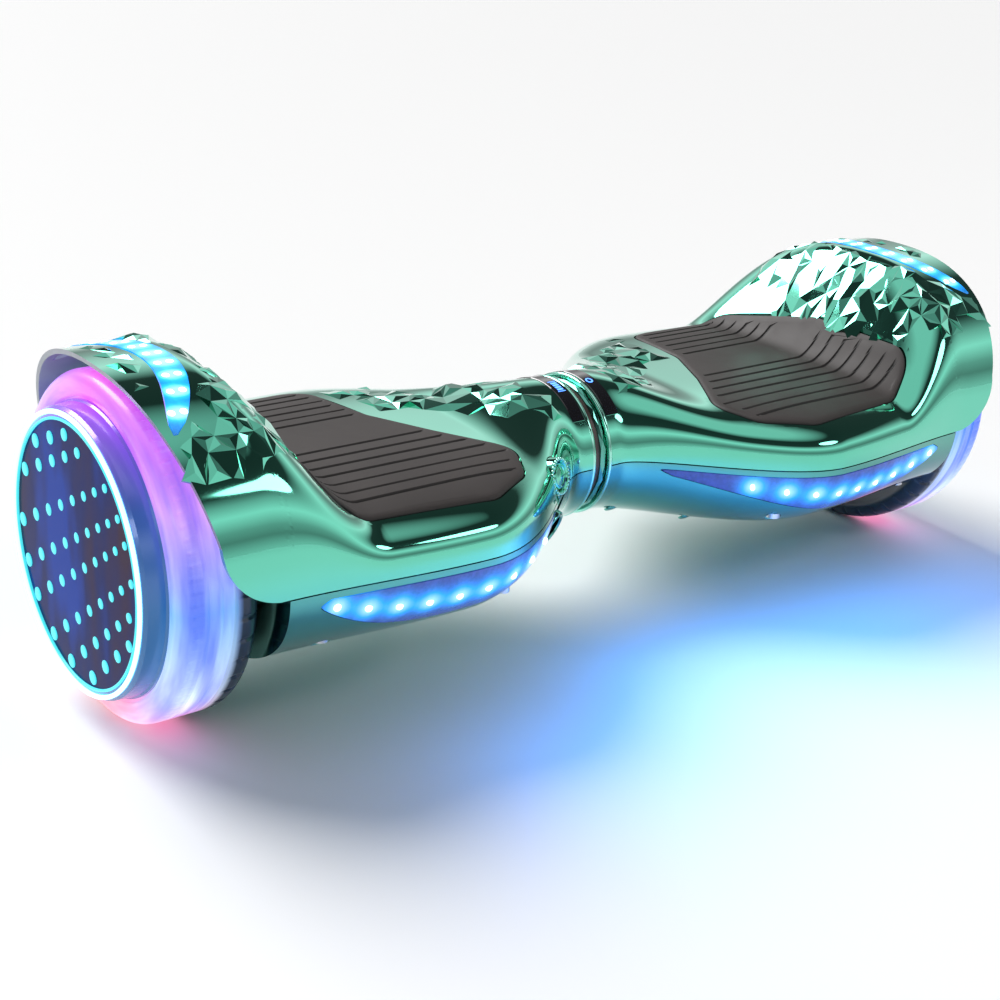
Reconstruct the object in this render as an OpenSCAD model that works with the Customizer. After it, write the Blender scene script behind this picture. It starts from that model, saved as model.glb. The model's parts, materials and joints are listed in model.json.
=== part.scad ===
// Self balancing two-wheel board. X runs along the axles, -Y is the front (the lamps), +Z is up.
// The origin is on the floor, midway between the wheels. Every side module is drawn for the
// +X half and mirrored for the -X half.

/* [Overall] */
// Length over the two wheel caps
length = 584; // [560:1:720]
// Gap between the two halves at the centre
centre_gap = 10; // [7:1:16]

/* [Body] */
// Radius of the round waist
waist_r = 40; // [38:1:48]
// Half width of the body beside the foot pads
bulge_w = 106; // [98:1:127]
// Height of the pad crown above the parting line
pedal_rise = 28; // [24:1:34]
// Depth of the rounded belly below the parting line
belly_round = 54; // [53:1:64]
// Depth at which the belly is cut flat
belly_flat = 51; // [48:1:52]
// Wall of the shells
wall = 2.5; // [2:0.1:3]
// Parting line above the wheel axles
parting_up = 4; // [0:1:8]

/* [Wheels] */
// Diameter of the tyre
wheel_d = 170; // [150:1:204]
// Width of the tyre
tyre_w = 41; // [34:1:49]
// Diameter of the rim under the tyre
rim_d = 124; // [110:1:130]
// Depth of the lit wheel cap
cap_depth = 16; // [12:1:20]
// Diameter of the lit wheel cap at its face
cap_d = 138; // [124:1:142]
// Free space between tyre and fender at the top
fender_gap = 4.5; // [3:0.5:12]
// Free space between tyre and fender at the front and rear
fender_side_gap = 10; // [6:0.5:14]
// Diameter of the fixed axle
axle_d = 16; // [14:1:20]

/* [Foot pads] */
// Thickness of the rubber pad
pad_t = 4.8; // [4:0.2:6]
// How far the pad stands above the shell
pad_proud = 1.2; // [0.6:0.2:2]
// Travel of the pad onto its sensors
pad_travel = 2; // [1:0.1:2.4]
// Free play between the pad and its recess
pad_play = 0.8; // [0.6:0.1:1.5]

/* [Lights] */
// Light emitters in each front lamp
lamp_leds = 9; // [5:1:11]
// Pairs of emitters along each fender strip
fender_leds = 9; // [5:2:11]
// Emitters around each wheel cap
cap_leds = 24; // [12:2:36]
// Width of the fender strip
strip_w = 14; // [12:1:16]
// Thickness of lenses
lens_t = 2; // [1.5:0.1:2.4]

/* [Pivot] */
// Diameter of the pivot tube between the halves
pivot_d = 34; // [28:1:38]
// Wall of the pivot tube
pivot_wall = 3; // [2:0.5:5]
// Wall of the plain bush around the tube
bush_t = 2; // [1.5:0.5:3]

/* [Controls] */
// Diameter of the power button
button_d = 14; // [12:1:17]
// Travel of the power button
button_travel = 1.5; // [1:0.1:2.5]
// Diameter of the charging socket's bore
socket_d = 14; // [12:1:17]
// Depth of the charging socket's bore
socket_depth = 6; // [4:1:8]

/* [Battery] */
// Diameter of one cell
cell_d = 18.4; // [18:0.1:21]
// Length of one cell
cell_l = 65; // [60:1:70]

/* [Hidden] */
SIDES = ["left", "right"];
SIDE_NODES = ["top_shell", "bottom_cover", "chassis", "axle_clamp", "clamp_bolts", "axle", "stator",
    "headlight_lens", "fender_light", "led_strips", "indicator_window", "sensor_board",
    "cover_screws", "foot_pad", "tyre", "rotor_rim", "rotor_cover", "magnets", "wheel_bearings",
    "cap_housing", "cap_mirror", "cap_led_ring", "cap_glass"];
CENTRE_NODES = ["pivot_tube", "pivot_bush", "pivot_snap_ring", "pivot_sleeve", "centre_ring",
    "battery_case", "battery_cells", "power_button", "button_bezel", "charge_socket",
    "main_board", "heatsink", "speaker", "harness"];

run_fit = 0.05;      // radial clearance of a shaft that turns in a bore
loose = 0.3;         // clearance between parts that only pass each other
eps = 1;             // overrun of a cutting shape

// Heights
wheel_r = wheel_d / 2;
axle_z = wheel_r;
part_z = axle_z + parting_up;                                   // the parting line and the pivot axis
fender_rise = axle_z + wheel_r + fender_gap + wall - part_z;
fender_w = wheel_r + fender_side_gap + wall;

// Stations along one half, measured from the centre
cap_face = length / 2;
cap_back = cap_face - cap_depth;
tyre_out = cap_face - 13;
tyre_in = tyre_out - tyre_w;
well_u = tyre_in - 6;                                           // outer end of the lower cover
lip_u = tyre_out;                                               // fender lip at the top of the wheel
shell_u = centre_gap / 2;                                       // inner end of the shells
waist_u = 15;
pad_u = 75;
bulge_u = 105;                                                 // inner end of the frame and the emitters
widest_u = 125;
ramp_in = tyre_in - 58;                                         // where the fender starts to rise
ramp_out = tyre_in + 2;

function smooth(t) = let (c = max(0, min(1, t))) c * c * (3 - 2 * c);
function mix(a, b, t) = a + (b - a) * t;
function neck(u) = smooth(pow(max(0, u - waist_u) / (widest_u - waist_u), 0.8));
function ramp(u) = smooth((u - ramp_in) / (ramp_out - ramp_in));
function half_w(u) = u < widest_u ? mix(waist_r, bulge_w, neck(u))
    : mix(bulge_w, fender_w, smooth((u - widest_u) / (ramp_out - widest_u)));
function crown(u) = smooth((u - waist_u) / (pad_u - waist_u));
function rise(u) = mix(mix(waist_r, pedal_rise, crown(u)), fender_rise, ramp(u));
function drop(u) = mix(waist_r, belly_round, neck(u));
function top_power(u) = mix(mix(2, 3.6, crown(u)), 2.3, ramp(u));
function low_power(u) = mix(2, 2.3, neck(u));

// Distance of the skin from the centre plane at a height above or a depth below the parting line
function front_above(u, up) = half_w(u) * pow(1 - pow(up / rise(u), top_power(u)), 1 / top_power(u));
function front_below(u, down) = half_w(u) * pow(1 - pow(down / drop(u), low_power(u)), 1 / low_power(u));

// One coordinate pair of a superellipse at angle a
function lobe(a, n) = [sign(cos(a)) * pow(abs(cos(a)), 2 / n), pow(max(0, sin(a)), 2 / n)];

// Upper cross-section at station u, front to rear over the top, inset by t, closed at low below the parting
function upper_ring(u, t, steps, low) = concat(
    low > 0 ? [[u, -half_w(u) + t, part_z - low]] : [],
    [for (i = [0:steps]) let (c = lobe(180 * i / steps, top_power(u)))
        [u, -(half_w(u) - t) * c[0], part_z + (rise(u) - t) * c[1]]],
    low > 0 ? [[u, half_w(u) - t, part_z - low]] : []);

// Lower cross-section at station u, rear to front under the belly
function lower_ring(u, t, steps, high) = concat(
    high > 0 ? [[u, half_w(u) - t, part_z + high]] : [],
    [for (i = [0:steps]) let (c = lobe(180 * i / steps, low_power(u)))
        [u, (half_w(u) - t) * c[0], part_z - min((drop(u) - t) * c[1], belly_flat - t)]],
    high > 0 ? [[u, -half_w(u) + t, part_z + high]] : []);

// A closed skin through rings of equal length
module loft(rings) {
    n = len(rings[0]);
    m = len(rings);
    polyhedron(points = [for (r = rings) each r],
        faces = concat([[for (i = [n - 1:-1:0]) i]], [[for (i = [0:n - 1]) (m - 1) * n + i]],
            [for (j = [0:m - 2], i = [0:n - 1]) let (a = j * n + i, b = j * n + (i + 1) % n)
                each [[a, b, b + n], [a, b + n, a + n]]]),
        convexity = 8);
}

// Everything below is evaluated as one faceted skin: these parts have no bores
module skin() resize([0, 0, 0]) children();

module side(s) if (s == "left") mirror([1, 0, 0]) children(); else children();
module along_x(u, z) translate([u, 0, z]) rotate([0, 90, 0]) children();

// Stations with closer steps where the body curves
function spread(a, b, n) = [for (i = [0:n]) mix(a, b, i / n)];
function between(list, from, to) = concat([from], [for (u = list) if (u > from + 1 && u < to - 1) u], [to]);
function stations(from, to) = between(concat(spread(waist_u, widest_u, 12), [mix(widest_u, ramp_in, 0.5)],
    spread(ramp_in, ramp_out, 9), [ramp_out + 10]), from, to);
function coarse(from, to) = between(concat(spread(waist_u, widest_u, 9), [mix(widest_u, ramp_in, 0.5)],
    spread(ramp_in, ramp_out, 5)), from, to);

module upper_solid(t = 0, from = shell_u, to = lip_u, steps = 24, low = 0)
    loft([for (u = stations(from, to)) upper_ring(u, t, steps, low)]);
module upper_core(t, from, to, low) loft([for (u = coarse(from, to)) upper_ring(u, t, 18, low)]);
module lower_solid(t = 0, from = shell_u, to = well_u, steps = 22, high = 0)
    loft([for (u = coarse(from, to)) lower_ring(u, t, steps, high)]);

/* ---------- foot pad outline and fender strip, in plan ---------- */
pad_front = bulge_w - 18;
pad_rear = pad_front - 9;
pad_corner = 18;
module pad_outline(grow = 0)
    offset(r = pad_corner + grow, $fn = 48) offset(delta = -pad_corner)
        polygon([[pad_u - 4, -50], [pad_u + 8, -half_w(pad_u + 8) + 16], [pad_u + 38, -pad_front - 2],
            [ramp_in + 5, -pad_front + 4], [ramp_in + 27, -pad_front + 14], [ramp_in + 24, 0],
            [ramp_in + 12, pad_rear], [pad_u + 46, pad_rear], [pad_u + 38, 24], [pad_u + 20, -12]]);

strip_bow = 0.0053;                                             // the strip bows towards the lip
strip_u = tyre_in + 10.5;
strip_end = 62;
function strip_at(y) = strip_u + strip_bow * y * y;
module strip_outline(grow = 0) {
    w = strip_w / 2 + grow;
    end = strip_end + grow;
    function edge(i, way) = [strip_at(end * i / 10) + way * w * sqrt(1.02 - pow(i / 10, 4)), end * i / 10];
    polygon(concat([for (i = [-10:10]) edge(i, -1)], [for (i = [10:-1:-10]) edge(i, 1)]));
}

/* ---------- front lamp, in the view from the front ---------- */
lamp_in = waist_u + 19;
lamp_out = well_u - 15;
lamp_top = part_z - 4;
lamp_deep = 24;
lamp_steps = 12;
function lamp_low(u) = let (along = pow((u - lamp_in) / (lamp_out - lamp_in), 1.4))
    lamp_top - 2 - lamp_deep * pow(sin(180 * along), 0.8);
module lamp_outline(grow = 0)
    offset(delta = grow)
        polygon(concat([[lamp_in, lamp_top]],
            [for (i = [1:lamp_steps]) let (u = mix(lamp_in, lamp_out, i / lamp_steps)) [u, lamp_low(u)]],
            [[lamp_out - 8, lamp_top]]));
// The left lamp stops short of the charging socket
module lamp_window(s, grow = 0) difference() {
    translate([0, -20, 0]) rotate([90, 0, 0]) linear_extrude(bulge_w) lamp_outline(grow);
    if (s == "left") {
        at_socket() cylinder(r = socket_r + socket_margin - grow, h = 60, center = true, $fn = 32);
        translate([0, -2 * bulge_w, 0]) cube([shoulder_u + 2 - grow, 4 * bulge_w, 2 * part_z]);
    }
}

/* ---------- controls on the front shoulder ---------- */
shoulder_u = 54;
button_up = 14;                                                 // height of the button above the parting line
socket_down = 15;                                               // depth of the socket below the parting line
shoulder_yaw = 25;                                              // how far both are turned towards the centre
button_tilt = 16;
socket_tilt = -22;
bezel_r = button_d / 2 + 3;
socket_r = socket_d / 2 + 2.5;
socket_margin = 3;                                              // wall left between the socket and the lamp
// Both face inwards and forwards from the shoulder's surface, the button tilted up and the socket down
module on_shoulder(up, surface, tilt)
    translate([shoulder_u, -surface, part_z + up]) rotate([90 - tilt, 0, 0]) rotate([0, -shoulder_yaw, 0]) children();
module at_button() on_shoulder(button_up, front_above(shoulder_u, button_up), button_tilt) children();
module at_socket() on_shoulder(-socket_down, front_below(shoulder_u, socket_down), socket_tilt) children();

/* ---------- shells ---------- */
recess_d = pad_t - pad_proud + pad_travel + 0.4;                // depth of the pad recess below the shell
floor_t = 2.2;
plunger_u = (pad_u + ramp_in) / 2 + 22;
plunger_y = 26;
plunger_r = 4;
plunger_play = 1.5;
module at_plungers() for (y = [-1, 1]) translate([plunger_u, y * plunger_y, 0]) children();
window_half = 50;                                               // half angle of the indicator window
window_in = shell_u + 3;
window_out = shell_u + 10;
window_t = 1;
lip_lean = 15;                                                  // how far the lip leans out to its top
lip_foot = 30;                                                  // height of the curve at its foot

module window_band(r_in, r_out, u0, u1)
    along_x(u0, part_z) rotate([0, 0, 180 - window_half])
        rotate_extrude(angle = 2 * window_half, $fn = 96)
            translate([r_in, 0]) square([r_out - r_in, u1 - u0]);

// The fender is cut back towards the parting line
module lip_cut()
    translate([0, bulge_w + 30, 0]) rotate([90, 0, 0]) linear_extrude(2 * bulge_w + 60)
        polygon(concat([[well_u, part_z - eps], [well_u, part_z]],
            [for (i = [1:8]) let (a = 90 * i / 8)
                [mix(well_u, lip_u - lip_lean, sin(a)), part_z + lip_foot * (1 - cos(a))]],
            [[lip_u, part_z + fender_rise], [lip_u + 40, part_z + fender_rise], [lip_u + 40, part_z - eps]]));

module top_shell(s) color([0.25, 0.75, 0.6]) side(s) skin() {
    difference() {
        upper_solid();
        upper_core(wall, shell_u - eps, lip_u + eps, eps);
        lip_cut();
        difference() {                                          // recess of the foot pad
            translate([0, 0, part_z]) linear_extrude(fender_rise) pad_outline(pad_play);
            translate([0, 0, -recess_d]) upper_solid(low = 20);
        }
        translate([0, 0, part_z]) linear_extrude(fender_rise * 2) strip_outline(loose);
        window_band(waist_r - window_t - loose, waist_r + 3, window_in - loose, window_out + loose);
        if (s == "left") at_button() cylinder(r = bezel_r + loose, h = 40, center = true, $fn = 40);
    }
    difference() {                                              // tub that holds the pad
        intersection() {
            translate([0, 0, part_z]) linear_extrude(fender_rise) pad_outline(pad_play + floor_t);
            upper_solid();
        }
        translate([0, 0, -recess_d - floor_t]) upper_solid(low = 40);
        intersection() {
            translate([0, 0, part_z]) linear_extrude(fender_rise) pad_outline(pad_play);
            translate([0, 0, recess_d + 1]) upper_solid(low = 40);
            difference() {
                translate([0, 0, part_z]) linear_extrude(fender_rise * 2) pad_outline(pad_play + 1);
                translate([0, 0, -recess_d]) upper_solid(low = 40);
            }
        }
        at_plungers() cylinder(r = plunger_r + plunger_play, h = 2 * part_z + fender_rise, $fn = 24);
    }
    difference() {                                              // bulkhead in front of the wheel
        intersection() {
            translate([well_u - wall, -bulge_w, part_z]) cube([wall, 2 * bulge_w, fender_rise]);
            upper_solid();
        }
        along_x(well_u - 10, axle_z) cylinder(r = 21, h = 20, $fn = 48);
    }
}

screw_us = [bulge_u - 7, (bulge_u + well_u) / 2 - 18, well_u - 27];
screw_y = 80;
screw_seat = part_z - 31;
deck_z = part_z + 4;                                            // underside of the chassis deck
grille_u = bulge_u - 5;
plunger_z = deck_z + 14.4;
plunger_l = 7.4;

module at_screws() for (u = screw_us, y = [-1, 1]) translate([u, y * screw_y, 0]) children();

module bottom_cover(s) color([0.2, 0.6, 0.5]) side(s) skin() {
    difference() {
        union() {
            difference() {
                lower_solid();
                lower_solid(t = wall, from = shell_u - eps, to = well_u - wall, steps = 16, high = eps);
                lamp_window(s, loose);
            }
            intersection() {                                    // screw bosses, up to the chassis deck
                at_screws() cylinder(r = 6.5, h = deck_z, $fn = 20);
                lower_solid(high = deck_z - part_z + eps);
            }
        }
        at_screws() {
            translate([0, 0, screw_seat - eps]) cylinder(r = 2.3, h = 200, $fn = 12);
            cylinder(r = 4.6, h = screw_seat, $fn = 16);
        }
        along_x(well_u - 10, axle_z) cylinder(r = 21, h = 20, $fn = 48);
        if (s == "left") at_socket() cylinder(r = socket_r + loose, h = 40, center = true, $fn = 40);
        if (s == "right") for (i = [0:5]) rotate_about([grille_u, 0, 0], 60 * i)
            translate([grille_u + 9, 0, 0]) cylinder(r = 2.2, h = 60, $fn = 10);
    }
}
module rotate_about(p, a) translate(p) rotate([0, 0, a]) translate(-p) children();

module foot_pad(s) color([0.22, 0.2, 0.21]) side(s) {
    skin() intersection() {
        translate([0, 0, part_z]) linear_extrude(fender_rise) pad_outline();
        difference() {
            translate([0, 0, pad_proud]) upper_solid(low = 20);
            translate([0, 0, pad_proud - pad_t]) upper_solid(low = 40);
        }
    }
    at_plungers() translate([0, 0, plunger_z]) cylinder(r = plunger_r, h = plunger_l, $fn = 32);
}

module indicator_window(s) color([0.06, 0.06, 0.07]) side(s)
    window_band(waist_r - window_t, waist_r, window_in, window_out);

module fender_light(s) color([0.2, 0.6, 1]) side(s) skin() intersection() {
    translate([0, 0, part_z]) linear_extrude(fender_rise * 2) strip_outline();
    difference() {
        translate([0, 0, 0.4]) upper_solid();
        translate([0, 0, 0.4 - lens_t]) upper_solid(low = 20);
    }
}

module headlight_lens(s) color([0.2, 0.6, 1]) side(s) skin() intersection() {
    lamp_window(s);
    difference() {
        lower_solid(t = -0.3);
        lower_solid(t = lens_t, from = shell_u - eps, to = well_u + eps, high = eps);
    }
}

// Emitters behind the front lens, square to the body, and under the fender strip
led_half = [4, 3.5];                                            // half width and height of an emitter's base
led_pitch = 2 * (strip_end - 10.5) / (fender_leds - 1);
strip_rows = 2.6;                                               // half the distance between the two rows
function lamp_mid(u) = (lamp_top + lamp_low(u)) / 2;
function lamp_skin(u) = front_below(u, part_z - lamp_mid(u));
// Depth of an emitter behind the skin: clear of the lens at its own lower edge, where the skin curves inwards
function led_back(u) = lens_t + 1.8 + lamp_skin(u) - front_below(u, part_z - lamp_mid(u) + led_half[1]);
function lamp_turn(u) = let (down = part_z - lamp_mid(u), dx = led_half[0])
    atan((front_below(u + dx, down) - front_below(u - dx, down)) / 2 / dx);
module lamp_led(u)
    translate([u, -lamp_skin(u), lamp_mid(u)]) rotate([0, 0, -lamp_turn(u)]) translate([0, led_back(u), 0]) {
        translate([-2.5, 0, -2.5]) cube([5, 1.4, 5]);
        translate([-led_half[0], 1.4, -led_half[1]]) cube([2 * led_half[0], 1.6, 2 * led_half[1]]);
    }
module led_strips(s) color([0.7, 0.95, 1]) side(s) {
    for (i = [0:lamp_leds - 1]) lamp_led(mix(bulge_u - 30, lamp_out - 9, i / (lamp_leds - 1)));
    for (i = [-(fender_leds - 1) / 2:(fender_leds - 1) / 2], row = [-1, 1]) {
        y = i * led_pitch;
        u = strip_at(y) + row * strip_rows;
        up = rise(u) * pow(1 - pow(abs(y) / half_w(u), top_power(u)), 1 / top_power(u));
        translate([u - 1.8, y - 1.8, part_z + up - lens_t - 3]) cube([3.6, 3.6, 1.2]);
    }
}

/* ---------- frame ---------- */
deck_t = 4;
deck_in = bulge_u - 21;
deck_out = well_u - 8;
deck_half = screw_y + 6;
flange_y = screw_y - 12;
flange_drop = 22;
clamp_l = 28;
clamp_in = deck_out - clamp_l;
clamp_half = 26;
bolt_y = 19;
bolt_r = 3;
collar_in = shell_u + 5;
collar_out = 56;
collar_r = pivot_d / 2 + bush_t + 8;
spine_half = collar_r + 3;                                      // half width of the spine behind the collar
spine_low = 10;
board_u = plunger_u;
standoff_h = 4;

module clamp_bolt_places()
    for (u = [clamp_in + 7, deck_out - 7], y = [-1, 1]) translate([u, y * bolt_y, 0]) children();

module chassis(s) color([0.7, 0.7, 0.72]) side(s) {
    bore = s == "left" ? pivot_d / 2 : pivot_d / 2 + run_fit + bush_t;
    difference() {
        union() {
            translate([deck_in, -deck_half, deck_z]) cube([deck_out - deck_in, 2 * deck_half, deck_t]);
            for (y = [-flange_y - 3, flange_y])
                translate([deck_in, y, deck_z - flange_drop])
                    cube([clamp_in - deck_in - 6, 3, flange_drop + 1]);
            translate([collar_in + 12, -spine_half, part_z - spine_low])
                cube([deck_in - collar_in - 6, 2 * spine_half, deck_z + deck_t - part_z + spine_low]);
            along_x(collar_in, part_z) cylinder(r = collar_r, h = collar_out - collar_in, $fn = 96);
            translate([clamp_in, -clamp_half, axle_z]) cube([clamp_l, 2 * clamp_half, deck_z - axle_z + 1]);
            for (x = [-1, 1], y = [-1, 1])
                translate([board_u + x * 20, y * 40, deck_z + deck_t - 1])
                    cylinder(r = 3, h = standoff_h + 1, $fn = 32);
        }
        along_x(collar_in - eps, part_z) cylinder(r = bore, h = deck_in - collar_in + 30, $fn = 96);
        if (s == "right") along_x(collar_out, part_z) cylinder(r = snap_r + 1, h = snap_room, $fn = 96);
        along_x(clamp_in - eps, axle_z) cylinder(r = axle_d / 2, h = clamp_l + 2 * eps, $fn = 64);
        clamp_bolt_places() translate([0, 0, axle_z - eps]) cylinder(r = bolt_r + 0.1, h = 40, $fn = 32);
        at_screws() translate([0, 0, deck_z - eps]) cylinder(r = 2.1, h = deck_t + 2 * eps, $fn = 32);
        for (y = [-1, 1]) translate([board_u, y * plunger_y, deck_z - eps])
            cylinder(r = 9, h = deck_t + 2 * eps, $fn = 48);
    }
}

clamp_gap = 0.4;
clamp_drop = 14;
module axle_clamp(s) color([0.6, 0.6, 0.62]) side(s) difference() {
    translate([clamp_in, -clamp_half, axle_z - clamp_drop])
        cube([clamp_l, 2 * clamp_half, clamp_drop - clamp_gap]);
    along_x(clamp_in - eps, axle_z) cylinder(r = axle_d / 2, h = clamp_l + 2 * eps, $fn = 64);
    clamp_bolt_places() translate([0, 0, axle_z - clamp_drop - eps])
        cylinder(r = bolt_r + 0.1, h = 40, $fn = 32);
}

module clamp_bolts(s) color([0.35, 0.35, 0.37]) side(s)
    clamp_bolt_places() difference() {
        union() {
            translate([0, 0, axle_z - clamp_drop - 5]) cylinder(r = 5, h = 5, $fn = 48);
            translate([0, 0, axle_z - clamp_drop - 1])
                cylinder(r = bolt_r, h = clamp_drop + deck_z - axle_z + 3, $fn = 32);
        }
        translate([0, 0, axle_z - clamp_drop - 5 - eps]) cylinder(r = 2.5, h = 3.5 + eps, $fn = 6);
    }

module cover_screws(s) color([0.3, 0.3, 0.32]) side(s)
    at_screws() difference() {
        union() {
            translate([0, 0, screw_seat - 3]) cylinder(r = 4.2, h = 3, $fn = 48);
            translate([0, 0, screw_seat - 1]) cylinder(r = 2, h = deck_z + deck_t - screw_seat + 1, $fn = 32);
        }
        for (a = [0, 90]) rotate([0, 0, a]) translate([-2.6, -0.5, screw_seat - 4]) cube([5.2, 1, 2.4]);
    }

module sensor_board(s) color([0.1, 0.35, 0.2]) side(s) translate([board_u, 0, deck_z + deck_t + standoff_h]) {
    difference() {
        translate([-28, -44, 0]) cube([56, 88, 1.6]);
        for (y = [-1, 1]) translate([0, y * plunger_y, -eps]) cylinder(r = 1.5, h = 4, $fn = 24);
    }
    for (y = [-1, 1]) translate([10, y * plunger_y - 6, 1.6]) cube([6, 12, 2.2]);
    translate([-12, -6, 1.6]) cube([12, 12, 1.4]);
    translate([-24, -30, 1.6]) cube([7, 14, 3]);
}

/* ---------- hub motor and wheel ---------- */
axle_in = clamp_in - 5;
motor_in = tyre_in + 2;
motor_out = cap_back;
rim_r = rim_d / 2;
plate_t = 3;
bearing_r = 16;
bearing_t = 7;
stator_r = rim_r - 9;
magnet_t = 3;
core_in = motor_in + bearing_t + 3;                             // the core sits between the bearing seats
core_l = motor_out - plate_t - bearing_t - 1.5 - core_in;
coil_over = 3;                                                  // coils stand past the core at both ends
axle_out = motor_out - plate_t - 1;
teeth = 27;
poles = 30;

module axle(s) color([0.62, 0.62, 0.65]) side(s) difference() {
    along_x(axle_in, axle_z) cylinder(r = axle_d / 2, h = axle_out - axle_in, $fn = 64);
    along_x(axle_in - eps, axle_z) cylinder(r = 3, h = core_in - axle_in, $fn = 32);   // cable bore
}

module stator(s) color([0.72, 0.42, 0.25]) side(s) along_x(core_in, axle_z) {
    difference() {                                              // laminated core with one tooth per coil
        linear_extrude(core_l) polygon([for (i = [0:teeth - 1]) each
            [for (p = [[stator_r - 16, -2], [stator_r - 3, -2], [stator_r - 2, -4.6], [stator_r, -4.6],
                [stator_r, 4.6], [stator_r - 2, 4.6], [stator_r - 3, 2], [stator_r - 16, 2]])
                let (a = 360 * i / teeth) [p[0] * cos(a) - p[1] * sin(a), p[0] * sin(a) + p[1] * cos(a)]]]);
        translate([0, 0, -eps]) cylinder(r = axle_d / 2, h = core_l + 2 * eps, $fn = 64);
    }
    for (i = [0:teeth - 1]) rotate([0, 0, 360 * i / teeth])     // coils
        translate([stator_r - 14, -4, -coil_over]) cube([9, 8, core_l + 2 * coil_over]);
}

module rotor_rim(s) color([0.16, 0.16, 0.18]) side(s) along_x(motor_out, axle_z) rotate_extrude($fn = 128)
    polygon([[0, 0], [0, -plate_t], [bearing_r, -plate_t], [bearing_r, -plate_t - bearing_t],
        [bearing_r + 4, -plate_t - bearing_t], [bearing_r + 4, -plate_t], [rim_r - 5, -plate_t],
        [rim_r - 5, motor_in - motor_out], [rim_r, motor_in - motor_out], [rim_r, 0]]);

module rotor_cover(s) color([0.45, 0.45, 0.48]) side(s) along_x(0, axle_z) difference() {
    union() {
        translate([0, 0, motor_in]) cylinder(r = rim_r - 5, h = plate_t, $fn = 128);
        translate([0, 0, motor_in]) cylinder(r = bearing_r + 4, h = bearing_t + 1, $fn = 96);
    }
    translate([0, 0, motor_in + 1]) cylinder(r = bearing_r, h = bearing_t + eps, $fn = 96);
    translate([0, 0, motor_in - eps]) cylinder(r = axle_d / 2 + 1, h = 3, $fn = 64);
    for (i = [0:5]) rotate([0, 0, 60 * i]) translate([rim_r - 10, 0, motor_in - eps])
        cylinder(r = 2, h = plate_t + 2 * eps, $fn = 24);
}

module wheel_bearings(s) color([0.8, 0.8, 0.82]) side(s) along_x(0, axle_z)
    for (u = [motor_in + 1, motor_out - plate_t - bearing_t]) translate([0, 0, u]) difference() {
        cylinder(r = bearing_r, h = bearing_t, $fn = 96);
        translate([0, 0, -eps]) cylinder(r = axle_d / 2 + run_fit, h = bearing_t + 2 * eps, $fn = 64);
        for (z = [-eps, bearing_t - 1]) translate([0, 0, z]) difference() {
            cylinder(r = bearing_r - 2.5, h = 1 + eps, $fn = 96);
            translate([0, 0, -eps]) cylinder(r = axle_d / 2 + 2.5, h = 4, $fn = 96);
        }
    }

module magnets(s) color([0.55, 0.57, 0.6]) side(s) along_x(core_in, axle_z)
    for (i = [0:poles - 1]) rotate([0, 0, 360 * i / poles])
        rotate_extrude(angle = 360 / poles - 2, $fn = 120)
            translate([rim_r - 5 - magnet_t, 0]) square([magnet_t, core_l]);

tread_r = 8;                                                    // shoulder radius of the tyre
cap_r = cap_d / 2;
module tyre(s) color([0.75, 0.85, 0.95]) side(s) along_x(tyre_in, axle_z)
    rotate_extrude($fn = 160) difference() {
        union() {
            translate([rim_r, 2]) square([wheel_r - rim_r - tread_r, motor_out - tyre_in - 2.2]);
            translate([cap_r + 4, 0]) square([wheel_r - cap_r - 4 - tread_r, tyre_w]);
            translate([rim_r, tread_r]) square([wheel_r - rim_r, tyre_w - 2 * tread_r]);
            intersection() {
                for (x = [tread_r, tyre_w - tread_r]) translate([wheel_r - tread_r, x])
                    circle(r = tread_r, $fn = 48);
                translate([cap_r + 4, 0]) square([wheel_r - cap_r, tyre_w]);
            }
        }
        for (x = [-1, 1]) translate([wheel_r - 2, tyre_w / 2 + x * 7 - 1]) square([4, 2]);
    }

cap_wall = 3;
bezel_t = 3.5;
glass_t = 2;
module cap_housing(s) color([0.15, 0.4, 0.75]) side(s) along_x(cap_back, axle_z) rotate_extrude($fn = 128)
    difference() {
        polygon([[rim_r - 8, 0], [cap_r + 2.5, 0], [cap_r + 2.5, 2.5], [cap_r, cap_depth - 2],
            [cap_r - 1.2, cap_depth], [cap_r - bezel_t, cap_depth], [cap_r - bezel_t, cap_depth - 1],
            [cap_r - cap_wall - 3, cap_depth - 1], [cap_r - cap_wall - 3, cap_depth - 3],
            [cap_r - cap_wall, cap_depth - 4], [cap_r - cap_wall, 2.5], [rim_r - 8, 2.5]]);
        translate([cap_r - cap_wall - 3.2, cap_depth - 1 - glass_t])
            square([3.2 + cap_wall - bezel_t, glass_t + 0.01]);
    }
module cap_mirror(s) color([0.1, 0.12, 0.3]) side(s) along_x(cap_back + 2.5, axle_z)
    cylinder(r = cap_r - cap_wall - 0.4, h = 1.5, $fn = 128);
led_ring_t = 1.2;
module cap_led_ring(s) color([0.5, 0.9, 1]) side(s) along_x(cap_back + 4, axle_z) {
    difference() {
        cylinder(r = cap_r - cap_wall - 0.4, h = 6, $fn = 128);
        translate([0, 0, -eps]) cylinder(r = cap_r - cap_wall - 0.4 - led_ring_t, h = 6 + 2 * eps, $fn = 128);
    }
    for (i = [0:cap_leds - 1]) rotate([0, 0, 360 * (i + 0.5) / cap_leds])
        translate([cap_r - cap_wall - 0.4 - led_ring_t - 1.2, -1.75, 1]) cube([1.4, 3.5, 3.5]);
}
module cap_glass(s) color([0.1, 0.2, 0.5]) side(s) along_x(cap_face - 1 - glass_t, axle_z)
    cylinder(r = cap_r - bezel_t - 0.1, h = glass_t, $fn = 128);

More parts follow.
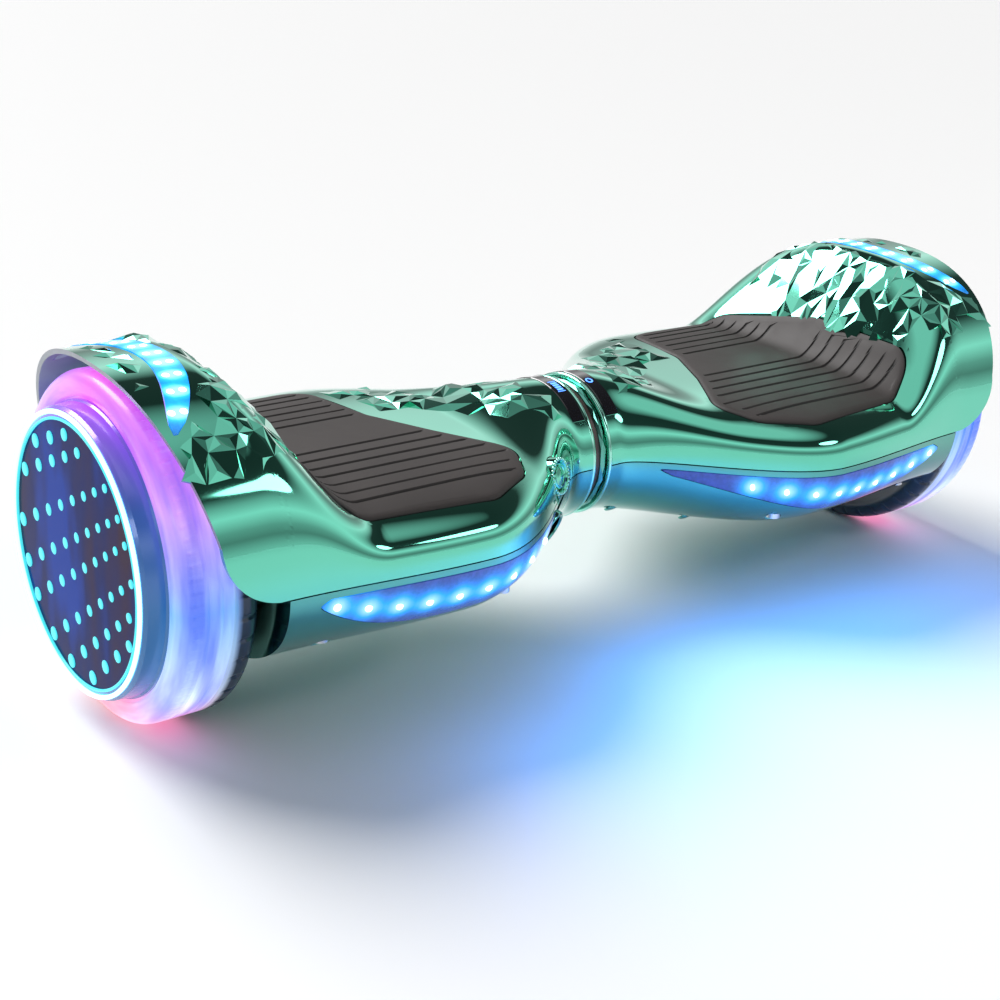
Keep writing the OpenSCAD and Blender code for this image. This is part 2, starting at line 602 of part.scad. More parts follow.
/* ---------- centre ---------- */
ring_groove = 1;
ring_w = 1.4;
ring_u = collar_out + 0.5;
snap_r = pivot_d / 2 + 3.5;
snap_room = 8;                                                  // pocket for the snap ring and the tube's end
tube_left = -collar_out + 2;
tube_right = ring_u + ring_w + 3;
tube_l = tube_right - tube_left;
module pivot_tube() color([0.66, 0.66, 0.68]) difference() {
    along_x(tube_left, part_z) cylinder(r = pivot_d / 2, h = tube_l, $fn = 96);
    along_x(tube_left - eps, part_z) cylinder(r = pivot_d / 2 - pivot_wall, h = tube_l + 2 * eps, $fn = 96);
    along_x(ring_u, part_z) difference() {
        cylinder(r = pivot_d / 2 + 2, h = ring_w, $fn = 96);
        translate([0, 0, -eps]) cylinder(r = pivot_d / 2 - ring_groove, h = ring_w + 2 * eps, $fn = 96);
    }
}
module pivot_snap_ring() color([0.4, 0.4, 0.42]) along_x(ring_u, part_z) difference() {
    cylinder(r = snap_r, h = ring_w, $fn = 96);
    translate([0, 0, -eps]) cylinder(r = pivot_d / 2 - ring_groove, h = ring_w + 2 * eps, $fn = 96);
    translate([-3, -40, -eps]) cube([6, 40, 4]);
}
module pivot_bush() color([0.78, 0.65, 0.35]) along_x(collar_in, part_z) difference() {
    cylinder(r = pivot_d / 2 + run_fit + bush_t, h = collar_out - collar_in, $fn = 96);
    translate([0, 0, -eps])
        cylinder(r = pivot_d / 2 + run_fit, h = collar_out - collar_in + 2 * eps, $fn = 96);
}
sleeve_r = waist_r - wall - 1.2;
module pivot_sleeve() color([0.2, 0.16, 0.16]) along_x(-collar_in, part_z) difference() {
    cylinder(r = sleeve_r, h = 2 * collar_in - loose, $fn = 96);
    translate([0, 0, -eps]) cylinder(r = pivot_d / 2, h = 2 * collar_in + 2 * eps, $fn = 96);
}
ring_r = waist_r - wall - 0.1;
module centre_ring() color([0.1, 0.5, 0.38]) along_x(0.8, part_z) difference() {
    cylinder(r = ring_r + 1.4, h = shell_u - 0.8, $fn = 96);
    translate([0, 0, -eps]) cylinder(r = sleeve_r + loose, h = 20, $fn = 96);
}
module harness() color([0.1, 0.1, 0.1])
    for (i = [0:4]) along_x(tube_left + 2, part_z) rotate([0, 0, 72 * i])
        translate([5, 0, 0]) cylinder(r = 2.6, h = tube_l - 4, $fn = 24);

/* ---------- electrics ---------- */
pack_w = 2 * cell_l + 4;
pack_h = 2 * cell_d + 2.4;
pack_l = 5 * cell_d + 2.4;
pack_u = clamp_in - 8 - pack_l;
pack_z = deck_z - pack_h - 0.3;
module battery_case() color([0.15, 0.3, 0.65]) side("left")
    translate([pack_u, -pack_w / 2, pack_z]) difference() {
        cube([pack_l, pack_w, pack_h]);
        translate([1, 1, 1]) cube([pack_l - 2, pack_w - 2, pack_h - 2]);
    }
module battery_cells() color([0.3, 0.6, 0.45]) side("left")
    for (i = [0:4], k = [0, 1], y = [-0.5, cell_l + 0.5])
        translate([pack_u + 1.2 + cell_d * (i + 0.5), y, pack_z + 1.2 + cell_d * (k + 0.5)])
            rotate([90, 0, 0]) cylinder(r = cell_d / 2 - 0.1, h = cell_l, $fn = 48);
board_l = 100;
board_in = deck_in + 6;
module heatsink() color([0.75, 0.75, 0.78]) side("right") translate([board_in, -40, deck_z - 10]) {
    translate([0, 0, 6]) cube([board_l, 80, 4]);
    for (i = [0:4]) translate([0, 1 + i * 18.5, 0]) cube([board_l, 4, 6.5]);
}
module main_board() color([0.12, 0.4, 0.25]) side("right") translate([board_in, -40, deck_z - 12]) {
    cube([board_l, 80, 1.8]);
    for (i = [0:3]) translate([12 + i * 24, 14, -14]) cylinder(r = 6.5, h = 14.2, $fn = 48);
    for (i = [0:5]) translate([8 + i * 15, 52, -5]) cube([9, 14, 5.2]);
    translate([40, 30, -3]) cube([12, 12, 3.2]);
}
// The belly rises towards the centre, so the speaker stands clear of it at its inner edge
speaker_r = 20;
speaker_z = part_z - min(belly_flat, drop(grille_u - speaker_r) - 1) + wall + loose;
module speaker() color([0.12, 0.12, 0.13]) side("right")
    translate([grille_u, 0, speaker_z]) {
        cylinder(r = speaker_r, h = 5, $fn = 64);
        translate([0, 0, 5]) cylinder(r = 12, h = 7, $fn = 64);
    }

/* ---------- controls ---------- */
module power_button() color([0.4, 0.8, 0.65]) side("left") at_button() {
    translate([0, 0, -3]) cylinder(r = button_d / 2, h = 5.5, $fn = 64);
    translate([0, 0, -7]) cylinder(r = 3, h = 5, $fn = 32);
}
module button_bezel() color([0.7, 0.8, 0.78]) side("left") at_button() difference() {
    translate([0, 0, -12]) cylinder(r = bezel_r, h = 14, $fn = 72);
    translate([0, 0, -3 - button_travel - loose]) cylinder(r = button_d / 2 + loose, h = 20, $fn = 64);
    translate([0, 0, -7 - button_travel - loose]) cylinder(r = 3 + loose, h = 20, $fn = 32);
}
pin_circle = 2.6;
module charge_socket() color([0.25, 0.26, 0.28]) side("left") at_socket() {
    difference() {
        translate([0, 0, -18]) cylinder(r = socket_r, h = 19.5, $fn = 72);
        translate([0, 0, 1.5 - socket_depth]) cylinder(r = socket_d / 2, h = 20, $fn = 64);
        translate([0, 0, -15]) cylinder(r = socket_d / 2 - 2, h = 20, $fn = 64);
    }
    for (i = [0:2]) rotate([0, 0, 120 * i]) translate([pin_circle, 0, -16]) cylinder(r = 1, h = 10, $fn = 24);
}

/* ---------- what is drawn ---------- */
module side_part(name, s) {
    if (name == "top_shell") top_shell(s);
    if (name == "bottom_cover") bottom_cover(s);
    if (name == "chassis") chassis(s);
    if (name == "axle_clamp") axle_clamp(s);
    if (name == "clamp_bolts") clamp_bolts(s);
    if (name == "axle") axle(s);
    if (name == "stator") stator(s);
    if (name == "headlight_lens") headlight_lens(s);
    if (name == "fender_light") fender_light(s);
    if (name == "led_strips") led_strips(s);
    if (name == "indicator_window") indicator_window(s);
    if (name == "sensor_board") sensor_board(s);
    if (name == "cover_screws") cover_screws(s);
    if (name == "foot_pad") foot_pad(s);
    if (name == "tyre") tyre(s);
    if (name == "rotor_rim") rotor_rim(s);
    if (name == "rotor_cover") rotor_cover(s);
    if (name == "magnets") magnets(s);
    if (name == "wheel_bearings") wheel_bearings(s);
    if (name == "cap_housing") cap_housing(s);
    if (name == "cap_mirror") cap_mirror(s);
    if (name == "cap_led_ring") cap_led_ring(s);
    if (name == "cap_glass") cap_glass(s);
}
for (s = SIDES, n = SIDE_NODES) side_part(n, s);
pivot_tube();
pivot_bush();
pivot_snap_ring();
pivot_sleeve();
centre_ring();
battery_case();
battery_cells();
power_button();
button_bezel();
charge_socket();
main_board();
heatsink();
speaker();
harness();
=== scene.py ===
"""The looks of a two-wheel self balancing board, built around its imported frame.

Shapes are worked out in millimetres for the +X half, with u the distance from the centre along the
axles, y to the rear and z up. finish_piece() scales them to metres and mirrors them for the other half.
"""
import json
import math
import random
from collections import Counter

import bmesh
import bpy
from mathutils import Matrix, Vector
from mathutils.geometry import delaunay_2d_cdt


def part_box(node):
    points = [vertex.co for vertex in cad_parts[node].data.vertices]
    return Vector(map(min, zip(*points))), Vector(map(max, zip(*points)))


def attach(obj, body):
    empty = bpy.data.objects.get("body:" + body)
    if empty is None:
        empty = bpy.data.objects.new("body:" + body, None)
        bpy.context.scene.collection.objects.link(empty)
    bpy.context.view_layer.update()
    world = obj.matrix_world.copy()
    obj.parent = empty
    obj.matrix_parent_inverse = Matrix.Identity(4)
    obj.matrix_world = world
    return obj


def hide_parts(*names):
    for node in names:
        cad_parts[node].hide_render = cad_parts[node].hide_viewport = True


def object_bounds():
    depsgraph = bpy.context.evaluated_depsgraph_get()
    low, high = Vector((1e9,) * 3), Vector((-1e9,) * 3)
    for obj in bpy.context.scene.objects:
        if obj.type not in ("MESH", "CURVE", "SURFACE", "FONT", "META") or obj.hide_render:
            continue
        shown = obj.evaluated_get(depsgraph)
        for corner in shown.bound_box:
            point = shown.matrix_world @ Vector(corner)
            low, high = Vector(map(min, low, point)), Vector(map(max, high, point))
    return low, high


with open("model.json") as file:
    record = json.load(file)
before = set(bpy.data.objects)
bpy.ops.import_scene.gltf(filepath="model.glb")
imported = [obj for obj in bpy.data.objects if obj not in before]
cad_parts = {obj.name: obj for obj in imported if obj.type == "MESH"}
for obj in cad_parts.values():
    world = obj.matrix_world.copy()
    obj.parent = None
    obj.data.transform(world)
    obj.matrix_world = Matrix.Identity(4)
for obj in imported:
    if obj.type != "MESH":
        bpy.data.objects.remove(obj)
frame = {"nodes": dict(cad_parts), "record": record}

cad_low, cad_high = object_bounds()
MM = 0.001
SIDES = {"right": 1, "left": -1}


def corner(node, which, axis):
    """One coordinate of a CAD node's box, in millimetres."""
    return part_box(node)[which][axis] / MM


# ---------------------------------------------------------------- sizes, from the frame
CAP_FACE = cad_high[0] / MM
TYRE_IN = corner("right_tyre", 0, 0)
TYRE_OUT = corner("right_tyre", 1, 0)
WHEEL_R = (corner("right_tyre", 1, 2) - corner("right_tyre", 0, 2)) / 2
AXLE_Z = corner("right_tyre", 0, 2) + WHEEL_R
PART_Z = AXLE_Z + 4
SHELL_U = corner("right_top_shell", 0, 0)
WELL_U = corner("right_bottom_cover", 1, 0)
LIP_U = TYRE_OUT
LIP_LEAN = 15
BULGE_W = corner("right_top_shell", 1, 1)
FENDER_W = WHEEL_R + 12.5
FENDER_RISE = corner("right_top_shell", 1, 2) - PART_Z
PEDAL_RISE = 28
WAIST_R, WAIST_U, PAD_U, BULGE_U, WIDEST_U = 40, 15, 75, 105, 125
BELLY_ROUND, BELLY_FLAT = 54, PART_Z - corner("right_bottom_cover", 0, 2)
RAMP_IN, RAMP_OUT = TYRE_IN - 58, TYRE_IN + 2
WALL = 2.5
CAP_BACK = CAP_FACE - 16
CAP_R = 69
RIM_R = 62
SEAM = 0.35                                    # half of the parting gap


def smooth(t):
    t = min(1.0, max(0.0, t))
    return t * t * (3 - 2 * t)


def mix(a, b, t):
    return a + (b - a) * t


def neck(u):
    return smooth((max(0.0, u - WAIST_U) / (WIDEST_U - WAIST_U)) ** 0.8)


def ramp(u):
    return smooth((u - RAMP_IN) / (RAMP_OUT - RAMP_IN))


def half_w(u):
    if u < WIDEST_U:
        return mix(WAIST_R, BULGE_W, neck(u))
    return mix(BULGE_W, FENDER_W, smooth((u - WIDEST_U) / (RAMP_OUT - WIDEST_U)))


def crown(u):
    return smooth((u - WAIST_U) / (PAD_U - WAIST_U))


def rise(u):
    return mix(mix(WAIST_R, PEDAL_RISE, crown(u)), FENDER_RISE, ramp(u))


def drop(u):
    return mix(WAIST_R, BELLY_ROUND, neck(u))


def top_power(u):
    return mix(mix(2, 3.6, crown(u)), 2.3, ramp(u))


def low_power(u):
    return mix(2, 2.3, neck(u))


def lobe(angle, power):
    """A point of the unit superellipse in the direction of angle."""
    c, s = math.cos(angle), math.sin(angle)
    r = (abs(c) ** power + abs(s) ** power) ** (-1 / power)
    return r * c, r * s


def superellipse(size, k, power):
    """What is left of a half size at the fraction k of the other half size."""
    return size * (1 - k ** power) ** (1 / power)


def surface_z(u, y):
    """Height of the upper shell's skin."""
    return PART_Z + superellipse(rise(u), min(1.0, abs(y) / half_w(u)), top_power(u))


# ---------------------------------------------------------------- mesh tools
def new_object(name, verts, faces):
    mesh = bpy.data.meshes.new(name)
    mesh.from_pydata([tuple(v) for v in verts], [], [tuple(f) for f in faces])
    mesh.update()
    obj = bpy.data.objects.new(name, mesh)
    bpy.context.scene.collection.objects.link(obj)
    return obj


def outwards(obj, weld=0.0):
    """Turns the faces outwards, after points nearer than weld are made one."""
    bm = bmesh.new()
    bm.from_mesh(obj.data)
    if weld:
        bmesh.ops.remove_doubles(bm, verts=bm.verts, dist=weld)
        bmesh.ops.dissolve_degenerate(bm, edges=bm.edges, dist=weld)
    bmesh.ops.recalc_face_normals(bm, faces=bm.faces)
    bm.to_mesh(obj.data)
    bm.free()
    return obj


def band(a, b, n):
    """Quads between two closed rings of n points that start at a and b."""
    return [(a + i, a + (i + 1) % n, b + (i + 1) % n, b + i) for i in range(n)]


def circle(radius, count, turn=0.0):
    """Points evenly round a circle, turned on by a part of one step."""
    angles = [2 * math.pi * (i + turn) / count for i in range(count)]
    return [(radius * math.cos(a), radius * math.sin(a)) for a in angles]


def tube(rings):
    """Verts and faces of a closed skin through rings of equal count."""
    n, last = len(rings[0]), len(rings) - 1
    faces = [list(range(n))[::-1], [last * n + i for i in range(n)]]
    for j in range(last):
        faces += band(j * n, (j + 1) * n, n)
    return [p for ring in rings for p in ring], faces


def joined(name, parts):
    """One object out of several pairs of verts and faces."""
    verts, faces = [], []
    for part_verts, part_faces in parts:
        faces += [[i + len(verts) for i in face] for face in part_faces]
        verts += part_verts
    return outwards(new_object(name, verts, faces))


def loft(name, rings):
    return joined(name, [tube(rings)])


def prism(name, outline, low, high, plane="xy"):
    """An outline extruded along the axis that its plane leaves out."""
    return loft(name, [[(a, b, c) if plane == "xy" else (a, c, b) for a, b in outline] for c in (low, high)])


def slab(u0, u1, y0, y1, z0, z1):
    return prism("slab", [(u0, y0), (u1, y0), (u1, y1), (u0, y1)], z0, z1)


def combine(target, tool, operation="DIFFERENCE"):
    """Changes target by a boolean with tool, which is used up."""
    mod = target.modifiers.new("cut", "BOOLEAN")
    mod.operation, mod.object, mod.solver = operation, tool, "MANIFOLD"
    graph = bpy.context.evaluated_depsgraph_get()
    mesh = bpy.data.meshes.new_from_object(target.evaluated_get(graph))
    target.modifiers.clear()
    target.data = mesh
    bpy.data.objects.remove(tool)
    return target


def copy_of(obj):
    twin = obj.copy()
    twin.data = obj.data.copy()
    bpy.context.scene.collection.objects.link(twin)
    return twin


def lifted(obj, height):
    obj.data.transform(Matrix.Translation((0, 0, height)))
    return obj


def finish_piece(obj, name, body, mat, sign=1, sharp=32, replaced=()):
    """Scales to metres, mirrors for the left half, shades (flat when sharp is 0) and puts the piece on its body."""
    obj.name = obj.data.name = name
    obj.data.transform(Matrix.Diagonal((sign * MM, MM, MM, 1)))
    if sign < 0:
        obj.data.flip_normals()
    if sharp:
        obj.data.shade_smooth()
        obj.data.set_sharp_from_angle(angle=math.radians(sharp))
    else:
        obj.data.shade_flat()
    obj.data.materials.clear()
    obj.data.materials.append(mat)
    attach(obj, body)
    if replaced:
        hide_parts(*replaced)


def fillet(points, radius, steps=7, grow=0.0):
    """A closed outline grown outwards by grow, with each corner rounded."""
    pts = [Vector(p) for p in points]
    area = sum(a.x * b.y - b.x * a.y for a, b in zip(pts, pts[1:] + pts[:1]))
    if area < 0:
        pts.reverse()
    n = len(pts)
    moved = []
    for i in range(n):
        a, b, c = pts[i - 1], pts[i], pts[(i + 1) % n]
        d1, d2 = (b - a).normalized(), (c - b).normalized()
        n1, n2 = Vector((d1.y, -d1.x)), Vector((d2.y, -d2.x))
        moved.append(b + (n1 + n2) * grow / (1 + n1.dot(n2)))
    out = []
    for i in range(n):
        a, b, c = moved[i - 1], moved[i], moved[(i + 1) % n]
        d1, d2 = (a - b), (c - b)
        half = d1.angle(d2) / 2
        reach = min(radius / math.tan(half), 0.45 * d1.length, 0.45 * d2.length)
        p, q = b + d1.normalized() * reach, b + d2.normalized() * reach
        for k in range(steps + 1):
            t = k / steps
            out.append(tuple(p * (1 - t) ** 2 + b * 2 * t * (1 - t) + q * t * t))
    return out


def lathe(name, profile, u, centre_z=AXLE_Z, steps=192, radius_at=None):
    """A closed (radius, height) profile turned about the axle line at station u, height along +u."""
    verts, faces, n = [], [], len(profile)
    for j, (c, s) in enumerate(circle(1, steps)):
        for r, h in profile:
            r = radius_at(r, h, j) if radius_at else r
            verts.append((u + h, r * c, centre_z + r * s))
        faces += band(j * n, (j + 1) % steps * n, n)
    return outwards(new_object(name, verts, faces), weld=1e-5)


def arc(cx, cy, r, a0, a1, steps):
    return [(cx + r * math.cos(math.radians(mix(a0, a1, i / steps))),
             cy + r * math.sin(math.radians(mix(a0, a1, i / steps)))) for i in range(steps + 1)]


# ---------------------------------------------------------------- materials
MIX_A, MIX_B, MIX_OUT = 6, 7, 2                # the colour sockets of a mix node


def material(name, color, metallic=0.0, roughness=0.4, coat=0.0, emission=None, strength=0.0, ior=1.5):
    mat = bpy.data.materials.new(name)
    mat.use_nodes = True
    values = {"Base Color": (*color, 1), "Metallic": metallic, "Roughness": roughness, "Coat Weight": coat,
              "Coat Roughness": 0.04, "IOR": ior}
    if emission:
        values.update({"Emission Color": (*emission, 1), "Emission Strength": strength})
    for key, value in values.items():
        bsdf_of(mat).inputs[key].default_value = value
    return mat


def node(mat, kind, **values):
    made = mat.node_tree.nodes.new(kind)
    for key, value in values.items():
        if key in made.inputs:
            made.inputs[key].default_value = value
        else:
            setattr(made, key, value)
    return made


def link(mat, a, out, b, into):
    mat.node_tree.links.new(a.outputs[out], b.inputs[into])


def bsdf_of(mat):
    return mat.node_tree.nodes["Principled BSDF"]


def noise(mat, scale, detail=3.0, stretch=None):
    source, out = node(mat, "ShaderNodeTexCoord"), "Object"
    if stretch:
        mapping = node(mat, "ShaderNodeMapping", Scale=stretch)
        link(mat, source, out, mapping, "Vector")
        source, out = mapping, "Vector"
    made = node(mat, "ShaderNodeTexNoise", Scale=scale, Detail=detail)
    link(mat, source, out, made, "Vector")
    return made


def ramp_node(mat, stops):
    made = node(mat, "ShaderNodeValToRGB")
    elements = made.color_ramp.elements
    while len(elements) < len(stops):
        elements.new(0.5)
    for element, (at, color) in zip(elements, stops):
        element.position, element.color = at, (*color, 1)
    return made


def tint_by(mat, source, out, stops, *inputs):
    """Colours from a ramp over one output of source, led to the named inputs of the surface."""
    colors = ramp_node(mat, stops)
    link(mat, source, out, colors, "Fac")
    for name in inputs:
        link(mat, colors, "Color", bsdf_of(mat), name)
    return colors


def vary_roughness(mat, low, high, scale):
    span = node(mat, "ShaderNodeMapRange", **{"To Min": low, "To Max": high})
    link(mat, noise(mat, scale), "Fac", span, "Value")
    link(mat, span, "Result", bsdf_of(mat), "Roughness")


def vary_color(mat, a, b, scale):
    tint_by(mat, noise(mat, scale, 4), "Fac", [(0.35, a), (0.65, b)], "Base Color")


def bumpy(mat, scale, strength, distance=0.0002):
    bump = node(mat, "ShaderNodeBump", Strength=strength, Distance=distance)
    link(mat, noise(mat, scale), "Fac", bump, "Height")
    link(mat, bump, "Normal", bsdf_of(mat), "Normal")


def surface(name, a, b, metallic=0.0, low=0.3, high=0.5, coat=0.0, grain=900.0, strength=0.1, scale=14.0):
    """A plain finish with some colour, roughness and grain of its own."""
    mat = material(name, a, metallic, coat=coat)
    vary_color(mat, a, b, scale)
    vary_roughness(mat, low, high, scale * 4)
    bumpy(mat, grain, strength, 0.0001)
    return mat


def chrome_green(name, a, b, low=0.03, high=0.07):
    mat = material(name, a, metallic=1.0, coat=0.8)
    vary_color(mat, a, b, 6.0)
    vary_roughness(mat, low, high, 40)
    return mat


def lit_lens(name, dark, glow, strength):
    """A tinted lens that lights up around its emitters, which the glow attribute holds."""
    mat = material(name, dark, roughness=0.14, coat=0.35)
    vary_color(mat, dark, tuple(c * 1.8 for c in dark), 300)
    field = node(mat, "ShaderNodeAttribute", attribute_name="glow")
    hot = tuple(mix(c, 1.0, 0.25) for c in glow)
    tint_by(mat, field, "Fac", [(0.0, dark), (0.55, glow), (1.0, hot)], "Emission Color")
    power = node(mat, "ShaderNodeMath", operation="MULTIPLY_ADD")
    power.inputs[1].default_value, power.inputs[2].default_value = strength, 0.6
    link(mat, field, "Fac", power, 0)
    link(mat, power, "Value", bsdf_of(mat), "Emission Strength")
    return mat


def around_wheel(mat):
    """Nodes for the way out from the axle, its turn (0 to 1), the distance from the axle and from the centre."""
    split = node(mat, "ShaderNodeSeparateXYZ")
    link(mat, node(mat, "ShaderNodeTexCoord"), "Object", split, "Vector")
    height = node(mat, "ShaderNodeMath", operation="SUBTRACT")
    link(mat, split, "Z", height, 0)
    height.inputs[1].default_value = AXLE_Z * MM
    turn = node(mat, "ShaderNodeMath", operation="ARCTAN2")
    link(mat, height, "Value", turn, 0)
    link(mat, split, "Y", turn, 1)
    where = node(mat, "ShaderNodeMapRange", **{"From Min": -math.pi, "From Max": math.pi})
    link(mat, turn, "Value", where, "Value")
    flat = node(mat, "ShaderNodeCombineXYZ")
    link(mat, split, "Y", flat, "X")
    link(mat, height, "Value", flat, "Y")
    radius = node(mat, "ShaderNodeVectorMath", operation="LENGTH")
    link(mat, flat, "Vector", radius, 0)
    across = node(mat, "ShaderNodeMath", operation="ABSOLUTE")
    link(mat, split, "X", across, 0)
    return flat, where, radius, across


def wheel_tinted(name, stops, glow):
    """Glossy plastic whose tint and faint light change round the wheel."""
    mat = material(name, stops[0][1], metallic=0.2, roughness=0.22, coat=0.6)
    tint_by(mat, around_wheel(mat)[1], "Result", stops, "Base Color", "Emission Color")
    bsdf_of(mat).inputs["Emission Strength"].default_value = glow
    vary_roughness(mat, 0.16, 0.28, 60)
    return mat


def mirror_face(name):
    """Dark tinted mirror: navy, with painted reflections in brown and lighter blue, in patches from stretched noise,
    which also glow faintly.
    """
    mat = material(name, (0.006, 0.012, 0.08), roughness=0.12, coat=0.08, ior=1.2)
    tints = [(0.34, (0.003, 0.030, 0.24)), (0.5, (0.004, 0.010, 0.085)), (0.68, (0.026, 0.012, 0.034))]
    # Painted reflections: the noise patches go into both the base colour and the emission colour.
    tint_by(mat, noise(mat, 22, 2, stretch=(1, 1.6, 0.5)), "Fac", tints, "Base Color", "Emission Color")
    bsdf_of(mat).inputs["Emission Strength"].default_value = 0.5
    bsdf_of(mat).inputs["Specular IOR Level"].default_value = 0.15
    vary_roughness(mat, 0.10, 0.16, 60)
    return mat


def lit_tyre(name):
    """Translucent rubber lit from within, with swirls that run round the wheel, and painted shade on the inner
    shoulder, which is darker and does not glow.
    """
    mat = material(name, (0.12, 0.14, 0.22), roughness=0.3, coat=0.2)
    flat, where, radius, across = around_wheel(mat)
    unit = node(mat, "ShaderNodeVectorMath", operation="NORMALIZE")
    link(mat, flat, "Vector", unit, 0)
    small = node(mat, "ShaderNodeVectorMath", operation="SCALE", Scale=0.014)
    link(mat, unit, "Vector", small, 0)
    level = node(mat, "ShaderNodeCombineXYZ")
    link(mat, across, "Value", level, "Z")
    swirl_at = node(mat, "ShaderNodeVectorMath", operation="ADD")
    link(mat, small, "Vector", swirl_at, 0)
    link(mat, level, "Vector", swirl_at, 1)
    swirl = node(mat, "ShaderNodeTexNoise", noise_dimensions="4D", Scale=95.0, Detail=3.0)
    link(mat, swirl_at, "Vector", swirl, "Vector")
    link(mat, radius, "Value", swirl, "W")
    tints = tint_by(mat, where, "Result", [
        (0.0, (0.12, 0.30, 0.85)), (0.10, (0.42, 0.50, 0.95)), (0.19, (0.98, 0.36, 0.50)),
        (0.28, (0.95, 0.50, 0.36)), (0.42, (0.22, 0.50, 0.90)), (0.60, (0.36, 0.24, 0.90)),
        (0.74, (0.86, 0.10, 0.72)), (0.86, (0.62, 0.16, 0.86)), (1.0, (0.12, 0.30, 0.85))])
    streaks = tint_by(mat, swirl, "Fac", [(0.34, (0.14, 0.20, 0.40)), (0.48, (0.45, 0.45, 0.55)),
                                          (0.66, (0.95, 0.95, 1.0))])
    blend = node(mat, "ShaderNodeMix", data_type="RGBA", blend_type="OVERLAY", Factor=0.85)
    link(mat, tints, "Color", blend, MIX_A)
    link(mat, streaks, "Color", blend, MIX_B)
    link(mat, blend, MIX_OUT, bsdf_of(mat), "Emission Color")
    # Painted shade: towards the inner shoulder the glow goes to nothing and the base colour gets darker.
    shoulder = node(mat, "ShaderNodeMapRange", **{"From Min": (TYRE_IN + 10) * MM, "From Max": (TYRE_IN + 15) * MM})
    link(mat, across, "Value", shoulder, "Value")
    link(mat, shoulder, "Result", bsdf_of(mat), "Emission Strength")
    tint_by(mat, shoulder, "Result", [(0.0, (0.012, 0.03, 0.06)), (1.0, (0.10, 0.12, 0.20))], "Base Color")
    bumpy(mat, 400, 0.08)
    return mat


def pad_rubber(name):
    """Dark rubber, with painted shade in its grooves: near black where the cut attribute says that a groove runs."""
    mat = surface(name, (0.030, 0.024, 0.023), (0.042, 0.034, 0.033), low=0.50, high=0.66, grain=2600, strength=0.3,
                  scale=20)
    plain = bsdf_of(mat).inputs["Base Color"].links[0].from_node
    # Painted shade: the rubber colour is mixed towards near black in the grooves.
    blend = node(mat, "ShaderNodeMix", data_type="RGBA")
    link(mat, node(mat, "ShaderNodeAttribute", attribute_name="cut"), "Fac", blend, "Factor")
    link(mat, plain, "Color", blend, MIX_A)
    blend.inputs[MIX_B].default_value = (0.010, 0.009, 0.009, 1)
    link(mat, blend, MIX_OUT, bsdf_of(mat), "Base Color")
    return mat


MINT = chrome_green("chrome_mint", (0.15, 0.66, 0.48), (0.12, 0.60, 0.43))
# Painted shade: a darker copy of the mint chrome. It is used on the lower cover, which sits in shadow near the floor,
# and on the centre facets, socket ring and cover tabs.
SHADED_MINT = chrome_green("chrome_mint_shaded", (0.10, 0.42, 0.34), (0.08, 0.36, 0.30), 0.05, 0.10)
INNER = surface("shell_inside", (0.30, 0.33, 0.36), (0.36, 0.39, 0.42), 0.3, 0.25, 0.4)
SILVER = chrome_green("chrome_rim", (0.36, 0.84, 0.70), (0.28, 0.74, 0.60))
PAD = pad_rubber("pad_rubber")
LENS = lit_lens("lamp_lens", (0.028, 0.045, 0.22), (0.01, 0.32, 0.95), 1.4)
STRIP = lit_lens("strip_lens", (0.01, 0.20, 0.62), (0.02, 0.42, 0.95), 1.5)
LED = material("emitter", (0.8, 0.95, 1.0), roughness=0.3, emission=(0.62, 0.93, 1.0), strength=3.5)
# Cyan glow for the inner light ring, and for the painted reflections of the rim emitters on the mirror face.
DOT = material("mirror_dot", (0.02, 0.2, 0.25), roughness=0.3, emission=(0.06, 0.66, 0.74), strength=1.1)
RING = material("rim_light", (0.3, 0.7, 0.9), roughness=0.3, emission=(0.36, 0.86, 1.0), strength=2.2)
BLACK = surface("window_black", (0.008, 0.008, 0.012), (0.014, 0.013, 0.018), low=0.05, high=0.1, coat=1.0,
                strength=0.02)
ICON = material("icon_blue", (0.1, 0.2, 0.9), roughness=0.4, emission=(0.08, 0.28, 1.0), strength=2.5)
DRUM = wheel_tinted("cap_blue", [(0.0, (0.02, 0.12, 0.30)), (0.45, (0.03, 0.14, 0.34)), (0.62, (0.10, 0.12, 0.55)),
                                 (0.75, (0.28, 0.08, 0.70)), (0.90, (0.05, 0.13, 0.42)), (1.0, (0.02, 0.12, 0.30))],
                    0.42)
MIRROR = mirror_face("mirror_face")
GLOW_TYRE = lit_tyre("tyre_glow")
SLEEVE = surface("sleeve_brown", (0.10, 0.075, 0.07), (0.15, 0.11, 0.10), metallic=0.4, low=0.25, high=0.4)
DARK = surface("moulded_black", (0.012, 0.012, 0.014), (0.022, 0.022, 0.025), low=0.35, high=0.5)

